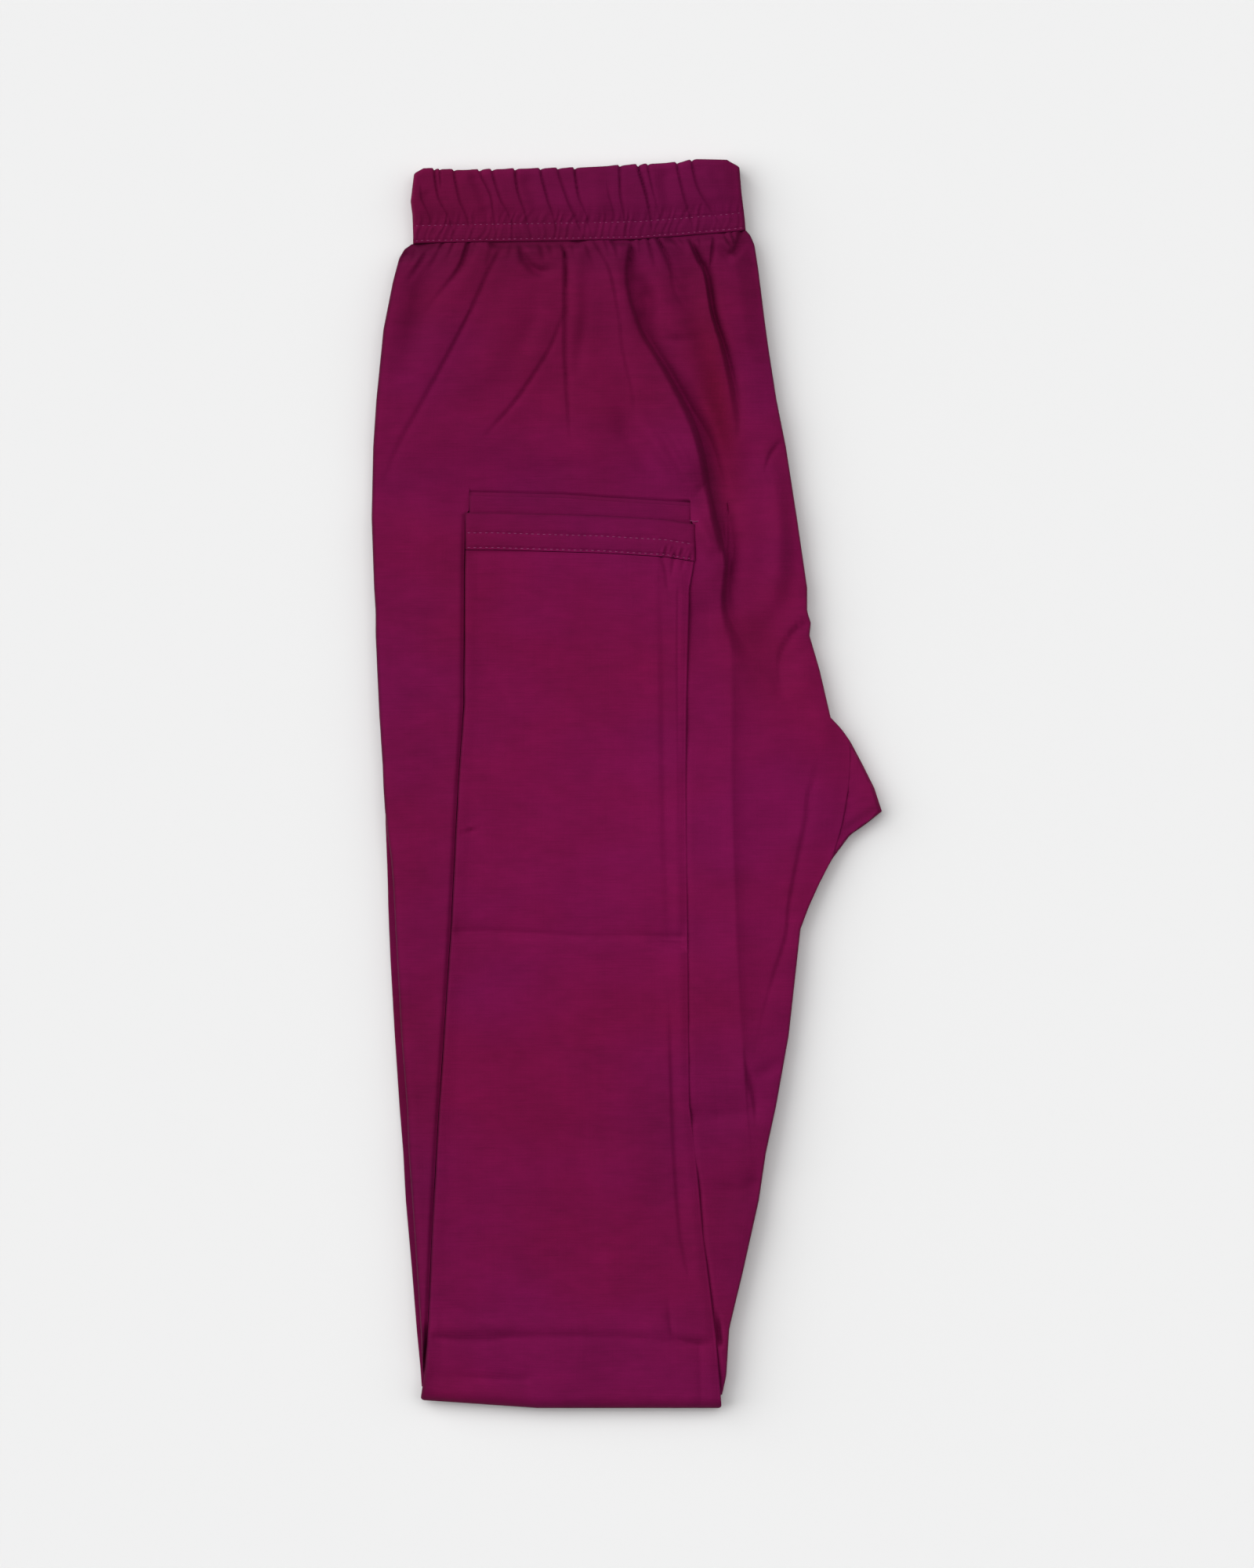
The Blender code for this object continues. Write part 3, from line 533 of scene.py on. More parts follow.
# Soft rolls and hollows of the cloth: heights at even steps along the route, ridges above zero.
Roll = namedtuple("Roll", "name heights width route")
ROLLS = [
    Roll("edge puff", (1.6, 2, 1.4, 0.4), 6, [(-101, 236), (-106, 212), (-109, 184), (-111, 160)]),
    Roll("side hollow", (-1, -2.2, -1.8, -0.3), 7, [(-87, 236), (-91, 222), (-94, 206), (-99, 186)]),
    Roll("hip roll", (1.1, 1, 0.4), 7, [(-66, 238), (-80, 208), (-100, 168)]),
    Roll("front roll", (1, 0.7, 0.2), 8, [(-44, 238), (-52, 214), (-62, 186)]),
    Roll("middle roll", (0.7, 0.9, 0.3), 6, [(-36, 226), (-38, 205), (-46, 184)]),
    Roll("middle hollow", (-0.2, -0.9, -0.3), 4, [(-39, 218), (-42, 206), (-48, 190)]),
    Roll("waist roll", (1.2, 0.8, 0.2), 4.5, [(-22.5, 238), (-21.5, 215), (-19, 185)]),
    Roll("soft hollow", (-0.5, -1.2, -0.6), 3, [(-19, 223), (-18.8, 207), (-22.3, 184)]),
    Roll("pleat roll", (1, 1.2, 0.8, 0.2), 5, [(-6, 236), (-1, 212), (4, 192), (10, 168)]),
    Roll("pocket in the rise fold", (-0.8, -4.2, -3.4, -0.8), 3.8,
         [(3.5, 227), (9, 216), (9.6, 205), (12.5, 198)]),
    Roll("fullness beside the rise", (0.6, 1.6, 1.8, 1.2, 0.2), 16,
         [(8, 225), (22, 195), (34, 168), (40, 140), (40, 112)]),
    Roll("rise roll", (0.9, 1.4, 1.2, 0.4), 6, [(12, 240), (17, 216), (24, 198), (34, 176)]),
    Roll("hollow between the folds", (-0.4, -1.8, -1.8, -0.5), 6,
         [(26, 232), (31, 214), (35, 200), (40, 184)]),
    Roll("foot of the rise fold", (0, -1, -1.8, -1.8, -0.8), 3,
         [(24, 184), (32, 166), (37.5, 152), (41, 136), (43.5, 120)]),
    Roll("spot beside the rise", (-0.2, -1.5, -0.3), 2.6, [(16, 199.5), (23, 197.5), (30, 198)]),
    Roll("hollow under the rise", (-0.4, -1.8, -1.7, -0.4), 4.6, [(-4, 174), (0, 158), (8, 145), (15, 134)]),
    Roll("light roll", (0.5, 2.2, 2.4, 1.6), 3.2, [(6, 163), (18, 144), (29, 124), (37, 106)]),
    Roll("outer light roll", (0.5, 1.7, 1.2), 2.4, [(13, 166), (23, 150), (31, 134)]),
    Roll("shade beside the rise", (-0.5, -1.8, -1.8, -0.5), 5, [(39, 182), (43, 164), (46, 146), (48, 128)]),
    Roll("centre hollow", (-0.6, -1.6, -0.6), 5, [(49, 160), (54, 146), (51, 131)]),
    Roll("centre roll", (0.9, 0.8, 0.5, 0.3), 6, [(46, 243), (50, 215), (58, 182), (62, 158)]),
    Roll("rise highlight", (0.4, 2.4, 2.8, 2.2, 0.4), 5,
         [(62, 148), (67, 128), (68, 106), (66, 88), (61, 74)]),
    Roll("side of the highlight", (-0.3, -0.6, -0.6, -0.3), 3.5, [(69, 132), (73, 115), (75, 98), (72, 84)]),
    Roll("shade by the rise", (-0.8, -2.4, -2.6, -1), 12, [(57, 76), (63, 62), (70, 50), (77, 42)]),
    Roll("crotch light", (0.3, 1.4, 0.8), 6, [(76, 58), (80, 42), (88, 26)]),
    Roll("crotch hollow", (-0.2, -1, -0.2), 3, [(67, 54), (69, 41), (78, 33)]),
    Roll("knee branch", (-0.3, -1.2, -0.7), 3, [(55.5, -130.5), (62.5, -128), (69, -124)]),
    Roll("side crease", (-0.4, -0.5, -0.3), 2, [(-98, 74.5), (-90, 74), (-82, 74.5)]),
    Roll("left light", (0.3, 0.9, 0.3), 9, [(-89, 128), (-88, 112), (-89, 96)]),
    Roll("hem shade", (-0.3, -0.9, -0.4), 3.2, [(-36, 139), (-29, 141), (-22, 141)]),
    Roll("pucker pocket", (-1, -2.2, -3.2, -2.6, -0.5), 1.9,
         [(-46.5, 239), (-45, 234), (-42.5, 230.4), (-38.5, 228.4), (-33, 228.8)]),
    Roll("corner pocket", (-1.2, -2.6, -2, -0.6), 2, [(41.6, 238.7), (45.2, 235.9), (49, 237.7), (52, 243)]),
    Roll("corner shadow", (-3.4, -4, -3, -0.8), 2.4, [(-100, 235), (-94, 237.6), (-88, 238.4), (-83, 239)]),
    Roll("gap at the knee", (-0.3, -4, -7, -7, -7), 0.9,
         [(-89.2, -240), (-89.7, -248), (-90.2, -258), (-90.9, -266), (-92, -275)]),
    Roll("nick by the edge", (-0.3, -0.7, -0.3), 3, [(58, -167), (57, -175), (55, -185)]),
    Roll("opening at the knee", (-0.5, -3.5, -3), 1.3, [(39.8, -236), (40.8, -242), (41.6, -249)]),
]

# Bends: the cloth turns sharply along a route, and eases off within a reach on its plus and
# minus sides.
Bend = namedtuple("Bend", "name sizes plus minus route")
PRESSED = [
    Bend("press line of the front", (0.5, 1.7, 2.1, 2.2, 2.1, 1.8, 1.2), 3.5, 14,
         [(45.5, 78), (46.8, 50), (46.6, 0), (48.3, -57), (50, -95), (52.5, -128)]),
    Bend("step beside the hem", (-1.2, -2.2, -1.6), 7, 9, [(43.5, 76.5), (36, 76.7), (29, 76)]),
    Bend("press above the knee", (-2, -3, -1.4), 6, 6.5, [(27, -148), (40, -148.6), (54, -147)]),
    Bend("lower press above the knee", (-0.6, -1.9, -1.9), 6.5, 8, [(33, -182), (45, -182), (57, -179)]),
]

# Small puckers where the gathers run out of the waist seam: x at the seam, lean for each mm down
# the cloth, length and depth. Then the dip of the cloth under the seam, as x and depth.
Pucker = namedtuple("Pucker", "x lean length depth")
PUCKERS = [Pucker(*row) for row in (
    (-92, -0.5, 9, 0.8), (-87, -0.6, 15, 0.9), (-82, -0.5, 10, 0.7), (-77, -0.4, 7, 0.6),
    (-67, -0.4, 8, 0.5), (-51, -0.2, 6, 0.7), (-47.5, 0.1, 9, 0.7), (-39, 0.3, 7, 0.9),
    (-34.5, 0.2, 5, 0.7), (-24.5, 0.2, 7, 0.6), (-9.5, 0.3, 9, 0.7), (-5.5, 0.2, 7, 0.8),
    (5.5, 0.2, 8, 0.7), (9.5, 0.3, 12, 0.8), (13.5, 0.5, 17, 0.9), (19.5, 0.9, 7, 0.9),
    (23.5, 0.5, 6, 0.6), (32.5, 0.1, 7, 0.6), (43, 0.6, 9, 0.9), (46.5, 0.4, 7, 0.7), (51, -0.3, 9, 0.9),
)]
WAIST_DIP = [(-97, 3), (-89, 2.6), (-84, 1), (-76, 0), (-62, 0), (-59, 3), (-40, 2.8),
             (-22, 3), (-18, 0), (-9, 0), (-6, 2.6), (1, 3), (4, 0), (16, 0.1), (20, 2.6),
             (28, 3), (42, 3), (46, 0.8), (54, 0)]


def smooth_route(points, step=1.2):
    """A smooth line through given points, with a point about every step."""
    points = np.array(points, float)
    ends = np.vstack([2 * points[0] - points[1], points, 2 * points[-1] - points[-2]])
    line = []
    for before, start, stop, after in zip(ends, ends[1:], ends[2:], ends[3:]):
        count = max(2, int(np.hypot(*(stop - start)[:2]) / step))
        t = np.linspace(0, 1, count, endpoint=False)[:, None]
        line.append(0.5 * (2 * start + (stop - before) * t
                           + (2 * before - 5 * start + 4 * stop - after) * t ** 2
                           + (3 * start - before - 3 * stop + after) * t ** 3))
    return np.vstack(line + [points[-1:]])


def beside_route(route, x, y, reach):
    """Where points lie beside a route: signed distance, share along it and which are in reach.

    The distance is above zero on the +X side of a route that runs down the page.
    """
    line = smooth_route(route)
    low, high = line.min(axis=0) - reach, line.max(axis=0) + reach
    near = (x > low[0]) & (x < high[0]) & (y > low[1]) & (y < high[1])
    px, py = x[near], y[near]
    best = np.full(px.shape, 1e9)
    side = np.ones(px.shape)
    share = np.zeros(px.shape)
    lengths = np.linalg.norm(np.diff(line, axis=0), axis=1)
    run = 0.0
    for start, stop, length in zip(line, line[1:], lengths):
        way = (stop - start) / length
        along = np.clip((px - start[0]) * way[0] + (py - start[1]) * way[1], 0, length)
        off_x = px - start[0] - way[0] * along
        off_y = py - start[1] - way[1] * along
        distance = np.hypot(off_x, off_y)
        closer = distance < best
        best = np.where(closer, distance, best)
        side = np.where(closer, np.where(way[0] * off_y - way[1] * off_x >= 0, 1.0, -1.0), side)
        share = np.where(closer, (run + along) / lengths.sum(), share)
        run += length
    return best * side, share, near


def at_steps(values, share):
    """Values given at even steps along a route, read at a share of its length."""
    return np.interp(share, np.linspace(0, 1, len(values)), values)


def tuck_height(tucks, x, y):
    """Height of the overfolded tucks at every point."""
    height = np.zeros(x.shape)
    for tuck in tucks:
        fall = np.atleast_1d(tuck.fall)
        reach = fall.max() + tuck.rise + 2 * tuck.lip_reach
        distance, share, near = beside_route(tuck.route, x, y, reach)
        drop = at_steps(tuck.drops, share)
        fall = at_steps(fall, share)
        fallen = ease(distance / fall + 0.5)
        crest = bell(np.minimum(distance, 0) / tuck.lip_reach + LIP_CREST, 1)
        lip = tuck.lip * drop / max(tuck.drops) * (1 - fallen) * crest
        beyond = (distance - 0.1 * fall - 0.05 * fall ** 2) / tuck.rise
        recovered = 1 - np.exp(-2.2 * np.maximum(beyond, 0)) * (1 - ease(beyond))
        height[near] += lip - drop * fallen * (1 - recovered)
    return height


def roll_height(rolls, x, y):
    """Height of soft rolls and hollows at every point."""
    height = np.zeros(x.shape)
    for roll in rolls:
        distance, share, near = beside_route(roll.route, x, y, 3 * roll.width)
        height[near] += at_steps(roll.heights, share) * bell(distance, roll.width)
    return height


def bend_height(bends, x, y):
    """Height of sharp bends at every point."""
    height = np.zeros(x.shape)
    for bend in bends:
        distance, share, near = beside_route(bend.route, x, y, 5 * max(bend.plus, bend.minus))
        width = np.where(distance >= 0, bend.plus, bend.minus)
        sharp = np.exp(-np.sqrt((distance / width) ** 2 + 0.1 / width ** 2) + 0.316 / width)
        height[near] += at_steps(bend.sizes, share) * sharp
    return height


def shin_left(y):
    """The outer shin's left edge."""
    return table_at(OUTER_SHIN, y, "left")


def shin_right(y):
    """The outer shin's right edge."""
    return table_at(OUTER_SHIN, y, "right")


def beside_left(x, y):
    """How far a point lies left of the cloth's edge along the shins."""
    return shin_left(y) - LEFT_GAP - x


def beside_right(x, y):
    """How far a point lies right of the cloth's edge along the shins."""
    return x - shin_right(y) - RIGHT_GAP


def clear_of_shins(x, y):
    """0 where the shins lie on the cloth and 1 where it is free to lift beside them."""
    over_hem = y - line_at(INNER_HEM_LINE, x)
    at_hem = 0.66 * ease((over_hem + 16) / 16)
    free = 0.34 * ease((over_hem + 0.5) / 1.8) + 0.66 * ease(over_hem / 24)
    for beside in (beside_left(x, y), beside_right(x, y)):
        free = np.maximum(free, ease(beside / WALL) * (1 - at_hem * bell(beside, 12)))
    return free


def lift_beside_shins(x, y):
    """The cloth stands up beside the stacked shins, with a groove that is deeper at the left."""
    from_left, from_right = beside_left(x, y), beside_right(x, y)
    left = LEFT_LIFT * np.exp(-np.maximum(from_left, 0) / 70) - 1.4 * bell(from_left, 1.2)
    left = left * (from_left > 0) * ease((y + 279) / 8)
    flush = RIGHT_LIFT + 0.7 * ease((20 - y) / 40) + 0.9 * ease((-110 - y) / 40)
    flush = flush + 0.5 * ease((-146 - y) / 8) * ease((y + 186) / 20)
    groove = 0.6 + 0.9 * ease((-160 - y) / 25)
    right = flush * (1 - 0.5 * ease((x - 48) / 40)) - groove * bell(from_right, 1.6)
    right = right * (from_right > 0) * ease((y + 282) / 25)
    return (left + right) * ease((HEM_TOP + 2 - y) / 25)


def thigh_top(x, y):
    """Height of the left thigh's face above the surface it all lies on."""
    left, right = table_at(LEG_EDGES, y, "upper_left"), table_at(LEG_EDGES, y, "upper_right")
    from_side = np.minimum(x - left, right - x)
    clear = clear_of_shins(x, y)
    folds = tuck_height(TUCKS, x, y) + roll_height(ROLLS, x, y) + bend_height(PRESSED, x, y)
    for pucker in PUCKERS:
        seam = seam_line(np.array(pucker.x))
        down = np.maximum(seam - y, 0)
        bent = pucker.x + pucker.lean * down
        fade = np.clip(1 - down / (1.2 * pucker.length), 0, 1) ** 0.7
        folds -= 2.2 * pucker.depth * fade * bell(x - bent, 0.8 + 0.05 * down)
        folds += 0.6 * pucker.depth * fade * bell(x - bent + 2.2, 1.6)
    uneven = 0.45 * wander(x, y, 52, 21) + 0.16 * wander(x, y, 19, 22) + 0.035 * wander(x, y, 7, 23)
    fullness = FULLNESS + 0.9 * ease((y - 125) / 40)
    free = (fullness + folds + uneven + lift_beside_shins(x, y)) * clear
    crotch_edge = at_crotch(y) * (x > 0)
    at_edge = 0.95 - 0.2 * crotch_edge
    free = free * (at_edge + (1 - at_edge) * ease(from_side / (4 + 10 * crotch_edge)))
    dip = line_at(WAIST_DIP, x)
    at_seam = 0.85 - 0.17 * dip
    free = free * (at_seam + (1 - at_seam) * ease((seam_line(x) - y) / 4.0))
    free -= dip * bell(seam_line(x) - y, 2.6)
    base = UPPER_BASE + puff(x, y)
    thickness = CLOTH - 0.4 * crotch_edge * (1 - ease(from_side / 8))
    thickness += np.where(clear > 0, free, np.minimum(free, 0))
    return base + np.maximum(thickness, THINNEST)


LEFT_COLUMNS = 48
MIDDLE_COLUMNS = 122
RIGHT_COLUMNS = 84


def thigh_columns(left, right, y):
    """Columns across the thigh, closer together beside the shins' edges, which they follow."""
    edge_left, edge_right = shin_left(y) - LEFT_GAP, shin_right(y) + RIGHT_GAP
    wall_left, wall_right = edge_left - WALL, edge_right + WALL
    return np.hstack([wall_left - (wall_left - left) * np.linspace(1, 0, LEFT_COLUMNS) ** 1.35,
                      evenly(edge_left, edge_right, MIDDLE_COLUMNS),
                      wall_right + (right - wall_right) * np.linspace(0, 1, RIGHT_COLUMNS) ** 1.25])


# The rolled side edges as angles, and rows that lie closest at the waist seam and the hems' edge.
roll_turns = np.radians([-50, -15, 15, 35, 52, 67, 80])
inset = ROLL_REACH * (1 - np.cos(roll_turns))
stations = np.concatenate([[240.75, 240.3, 239.6], np.linspace(238.8, 136, 104)[:-1],
                           np.linspace(136, 124, 26)[:-1], np.linspace(124, THIGH_END, 207)])[:, None]
_, left, right, _ = edges_at(LEG_EDGES, stations)
columns = thigh_columns(left + ROLL_REACH, right - ROLL_REACH, stations)
thigh_x = np.hstack([left + inset, columns, right - inset[::-1]])
thigh_y = leg_place(thigh_x, stations)
turn = np.concatenate([roll_turns, np.full(columns.shape[1], pi / 2), roll_turns[::-1]])
right_half = at_crotch(thigh_y) * (thigh_x > 0)
roll_middle = ROLL_FOOT + 1 + (TIP_LIFT - 0.95) * right_half
above_middle = thigh_top(thigh_x, thigh_y) - roll_middle
rolled = roll_middle + np.where(turn < 0, 1.3 - right_half, above_middle) * np.sin(turn)
left, right = thigh_x[:, :1], thigh_x[:, -1:]
flat_x = np.hstack([left + 1, evenly(left + 1.8, right - 1.8, 12), right - 1])
flat_y = leg_place(flat_x, stations)
flat_z = UPPER_BASE + puff(flat_x, flat_y)
flat_z[:, 0] = ROLL_FOOT
flat_z[:, -1] = ROLL_FOOT + (TIP_LIFT - 0.35) * at_crotch(flat_y[:, -1])
left_thigh = lofted_cloth("left_thigh", sheet_of(thigh_x, thigh_y, rolled),
                          sheet_of(flat_x, flat_y, flat_z),
                          painted_shade=painted_shade_by_left_edge(LEG_EDGES, "upper_left", 0.55))
# The thigh's colour is painted a little lighter, as painted light.
dress(left_thigh, slub_cotton("thigh_slub_cotton", 1.06), "left_leg_thigh")


# Shins: each lower leg is two layers of slub cotton, folded up at the knee and pressed flat. The
# left one lies inside, and only its hem shows above the right one's. Hems are turned once and
# sewn down with a twin needle; the inseam is pressed to one side and shows as a low ridge.
SHIN_THICKNESS = 2.4
INNER_SHIN = [Shin(*row) for row in (
    (131.5, -70, 29.6), (121, -70.6, 28.8), (35, -71, 24.6), (-62.3, -76.8, 24.8), (-143.5, -81.8, 25.8),
    (-200.2, -85.2, 32.4), (-247.5, -87.8, 38.2), (-279, -89.2, 40.6),
)]
OUTER_HEM_LINE = [(-73, 121.1), (-59, 121.1), (-11.5, 119.7), (17, 118), (31, 115.8)]
HEM_DEPTH = 16.5
UPPER_TOP = UPPER_BASE + CLOTH
INNER_SHIN_BASE = UPPER_TOP + GAP
OUTER_SHIN_BASE = INNER_SHIN_BASE + SHIN_THICKNESS + GAP
OUTER_TURN = KNEE_RADIUS - SHIN_THICKNESS / 2
INNER_TURN = OUTER_TURN - SHIN_THICKNESS - GAP
EDGE_ROUND = 1.5

# Valleys of the outer shin: pressed creases, whiskers, and puckers under the hem.
PRESS_ROUTE = [(-79, -66), (-62, -66.5), (-47, -67), (-20.5, -68.3), (8, -68.2), (27, -68.6)]
SHIN_VALLEYS = [
    Bend("shade above the press", (1.5, 1.4, 1, 0.6, 0.6, 0.9), 6.5, 1.2, PRESS_ROUTE),
    Bend("upper press crease", (0.7, 0.7, 0.6, 0.5, 0.5, 0.8), 1.4, 0.6, PRESS_ROUTE),
    Bend("its branch", (0.3, 2.2, 2.3), 2.4, 0.8, [(8, -70), (14, -71), (26, -72.6)]),
    Bend("lower press crease", (1.4, 1.3, 1, 0.9, 1.1), 4, 1.6,
         [(-89, -247), (-66, -248.5), (-47, -247), (-5, -247), (22, -249), (40, -250.5)]),
    Bend("knee crease", (0.2, 1, 1.1, 0.8), 1.2, 1.2,
         [(18.5, -230), (19.8, -243), (23, -248.2), (32.5, -251.3)]),
    Bend("knee strip", (0.5, 0.7, 0.6), 3, 2, [(32.4, -251), (32.8, -264), (33, -279)]),
    Bend("soft slant", (0, 0.8, 0.8, 0), 2.4, 3.2, [(-71, 57), (-64, 51), (-56, 42), (-50, 33)]),
    Bend("hem pucker", (1.1, 1, 0.6), 0.8, 0.8, [(14.4, 103.5), (17, 97), (18.2, 88)]),
    Bend("second hem pucker", (1.1, 0.5), 0.7, 0.7, [(21.5, 103.5), (20, 93.5)]),
    Bend("third hem pucker", (0.8, 0.4), 0.7, 0.7, [(26.5, 103), (24.5, 96)]),
    Bend("line under the hem", (1.1, 0.9, 0.7, 0.2, 0), 1, 1.6,
         [(-71.5, 103.2), (-58, 103.2), (-45, 103.1), (-28, 102.7), (-12, 102.2)]),
    Bend("knee whisker", (0, 0.9, 0.4, 0), 1.6, 2, [(-82, -232), (-66, -238), (-54, -249), (-40, -254)]),
    Bend("lower whisker", (0.6, 2, 1.2), 4.5, 3, [(-88, -264), (-66, -265.5), (-45, -266)]),
]
SHIN_ROLLS = [
    Roll("light above the press", (1.3, 1.4, 0.9, 0.7), 4.5,
         [(-88, -242.5), (-47, -242), (0, -243), (33, -246)]),
    Roll("allowance", (0, 0, 0.2, 0.3), 2.2, [(21, 60), (21, 30), (21.4, -15), (22.6, -66)]),
    Roll("middle light", (0, 0.3, 0), 9, [(-8, -160), (-2, -195), (8, -225)]),
    Roll("shin hollow", (0, -0.3, 0), 12, [(-70, -205), (-52, -215), (-30, -220)]),
]

# Tucks of the outer shin: the inseam, its allowance pressed to one side, and a nick.
SHIN_TUCKS = [
    Tuck("inseam", (0.4, 0.35, 0.15, 0), 0.8, 3.5, 0.1, 2, [(22.4, 86), (22.2, 50), (22.6, 10), (23, -30)]),
    Tuck("seam allowance", (0.2, 0.55, 0.6, 0.4, 0.2), 3.6, 11, 0.15, 5,
         [(14, 90), (15, 50), (15.2, 17), (16, -25), (17.5, -64)]),
    Tuck("seam allowance, lower", (0.1, 0.9, 0.8, 0.9, 0.4), 2.4, 9, 0.2, 4,
         [(18.6, -98), (19.4, -130), (20.8, -165), (23.2, -198), (26, -215)]),
    Tuck("nick", (0.2, 1.4, 1, 0.3), 0.8, 3, 0.3, 2, [(-66, -19.6), (-70.5, -20.6), (-75.5, -21.8)]),
]


def outer_shin_relief(x, y):
    """The outer shin's face: its creases, seam and a soft unevenness."""
    relief = roll_height(SHIN_ROLLS, x, y) - bend_height(SHIN_VALLEYS, x, y)
    relief += tuck_height(SHIN_TUCKS, x, y)
    relief += 0.25 * wander(x, y, 52, 31) + 0.09 * wander(x, y, 17, 32) + 0.02 * wander(x, y, 6, 33)
    from_side = np.minimum(x - shin_left(y), shin_right(y) - x)
    droop = 0.45 * (1 - ease((shin_right(y) - x) / 4.5)) - 0.5 * (1 - ease((x - shin_left(y)) / 7.0))
    return np.maximum((relief + 0.15) * (0.3 + 0.7 * ease(from_side / 4)) - droop, -2.0)


def flat_relief(x, y):
    """A nearly flat face, for the shin that is hidden."""
    return 0.05 * wander(x, y, 30, 41)


def make_shin(name, outline, hem_line, base, turn_radius, relief, spacing, columns):
    """A flat shin that runs from its hem to the knee, round it, and on to the layer below."""
    half = SHIN_THICKNESS / 2
    first = hem_line[1][1] - HEM_DEPTH - GAP
    turn_y = KNEE_END + KNEE_RADIUS
    middle = base + half
    flat = np.linspace(first, turn_y, int((first - turn_y) / spacing))[:, None]
    turns = np.linspace(0, pi, 17)[1:, None]
    path_y = np.concatenate([flat, turn_y - turn_radius * np.sin(turns)])
    path_z = np.concatenate([0 * flat, turn_radius * (np.cos(turns) - 1)]) + middle
    out_y = np.concatenate([0 * flat, -np.sin(turns)])
    out_z = np.concatenate([0 * flat + 1, np.cos(turns)])
    along = np.concatenate([flat, turn_y - (turn_radius + half) * turns])
    edge_turns = np.radians([-60, -30, 0, 25, 48, 68])
    edge_in = EDGE_ROUND * (1 - np.cos(edge_turns))
    edge_out = half * np.sin(edge_turns)
    left, right = edges_at(outline, path_y)
    face = evenly(left + EDGE_ROUND, right - EDGE_ROUND, columns)
    across = np.concatenate([left + edge_in, face, (right - edge_in)[:, ::-1]], axis=1)
    back = evenly(left + 1, right - 1, 8)

    def placed(x, out):
        """Points at x that stand out from the middle of the cloth, with its relief on the face."""
        hem = line_at(hem_line, x) - HEM_DEPTH - GAP
        y = path_y + (hem - first) * ease((path_y - 60) / 35) + knee_shift(x, path_y)
        out = out + relief(x, y) * np.maximum(out_z, 0) * (out > 0.9 * half)
        return sheet_of(x, y + out_y * out, np.maximum(0, path_z + out_z * out))

    outer = placed(across, np.concatenate([edge_out, np.full(columns, half), edge_out[::-1]]))
    return lofted_cloth(name, outer, placed(back, -half), along=along,
                        painted_shade=painted_shade_by_left_edge(outline, "left", 0.42))


# Both shins' colours are painted lighter, as painted light, the outer one more.
inner_shin = make_shin("inner_shin", INNER_SHIN, INNER_HEM_LINE, INNER_SHIN_BASE, INNER_TURN,
                       flat_relief, 6.0, 40)
dress(inner_shin, slub_cotton("inner_shin_slub_cotton", 1.06), "left_leg_shin")
outer_shin = make_shin("outer_shin", OUTER_SHIN, OUTER_HEM_LINE, OUTER_SHIN_BASE, OUTER_TURN,
                       outer_shin_relief, 1.1, 190)
dress(outer_shin, slub_cotton("outer_shin_slub_cotton", 1.12), "right_leg_shin")

# Hems, each with its two lips and the leg's opening as a groove between them.
ROW_PLACES = (9.1, 15.7)
HEM_MIDDLE = 8
LIP_ROUND = 0.55
GROOVE = 1.8
OUTER_HEM_TOP = OUTER_SHIN_BASE + SHIN_THICKNESS + 0.4


def hem_relief(x, depth):
    """The hem's face: two sewn rows, the tunnel between them, and its puckers."""
    rows = sum(bell(depth - row, 0.75) for row in ROW_PLACES)
    pull = 1 + 0.35 * np.sin(2 * pi * x / 5.3 + 1.5 * np.sin(x / 9))
    tunnel = bell(depth - 12.4, 2.4)
    above_row = bell(depth - 7.9, 0.9) * (0.5 + 0.5 * np.sin(x / 6.5 + 0.6))
    bunch = 0.35 * np.sin(2 * pi * x / 3.7) + 0.25 * np.sin(2 * pi * x / 2.3 + depth)
    bunch = bunch * ease((x - 12) / 6) * ease((depth - 10) / 4)
    relief = -0.38 * rows * pull + 0.16 * tunnel - 0.22 * above_row + bunch
    return relief + 0.06 * wander(x, depth, 14, 51)


def places_along(left, right, ends, reach, count):
    """Places along a strip, closer together within a reach of its two ends."""
    ends = np.array(ends)
    between = np.linspace(left + reach, right - reach, count)
    return np.concatenate([left + ends, between, (right - ends)[::-1]])[:, None]


def round_end(from_end, reach, least=0):
    """A quarter circle that rises from its least at an end to 1 at a reach from it."""
    return np.sqrt(np.clip(1 - (1 - np.minimum(from_end, reach) / reach) ** 2, least, 1))


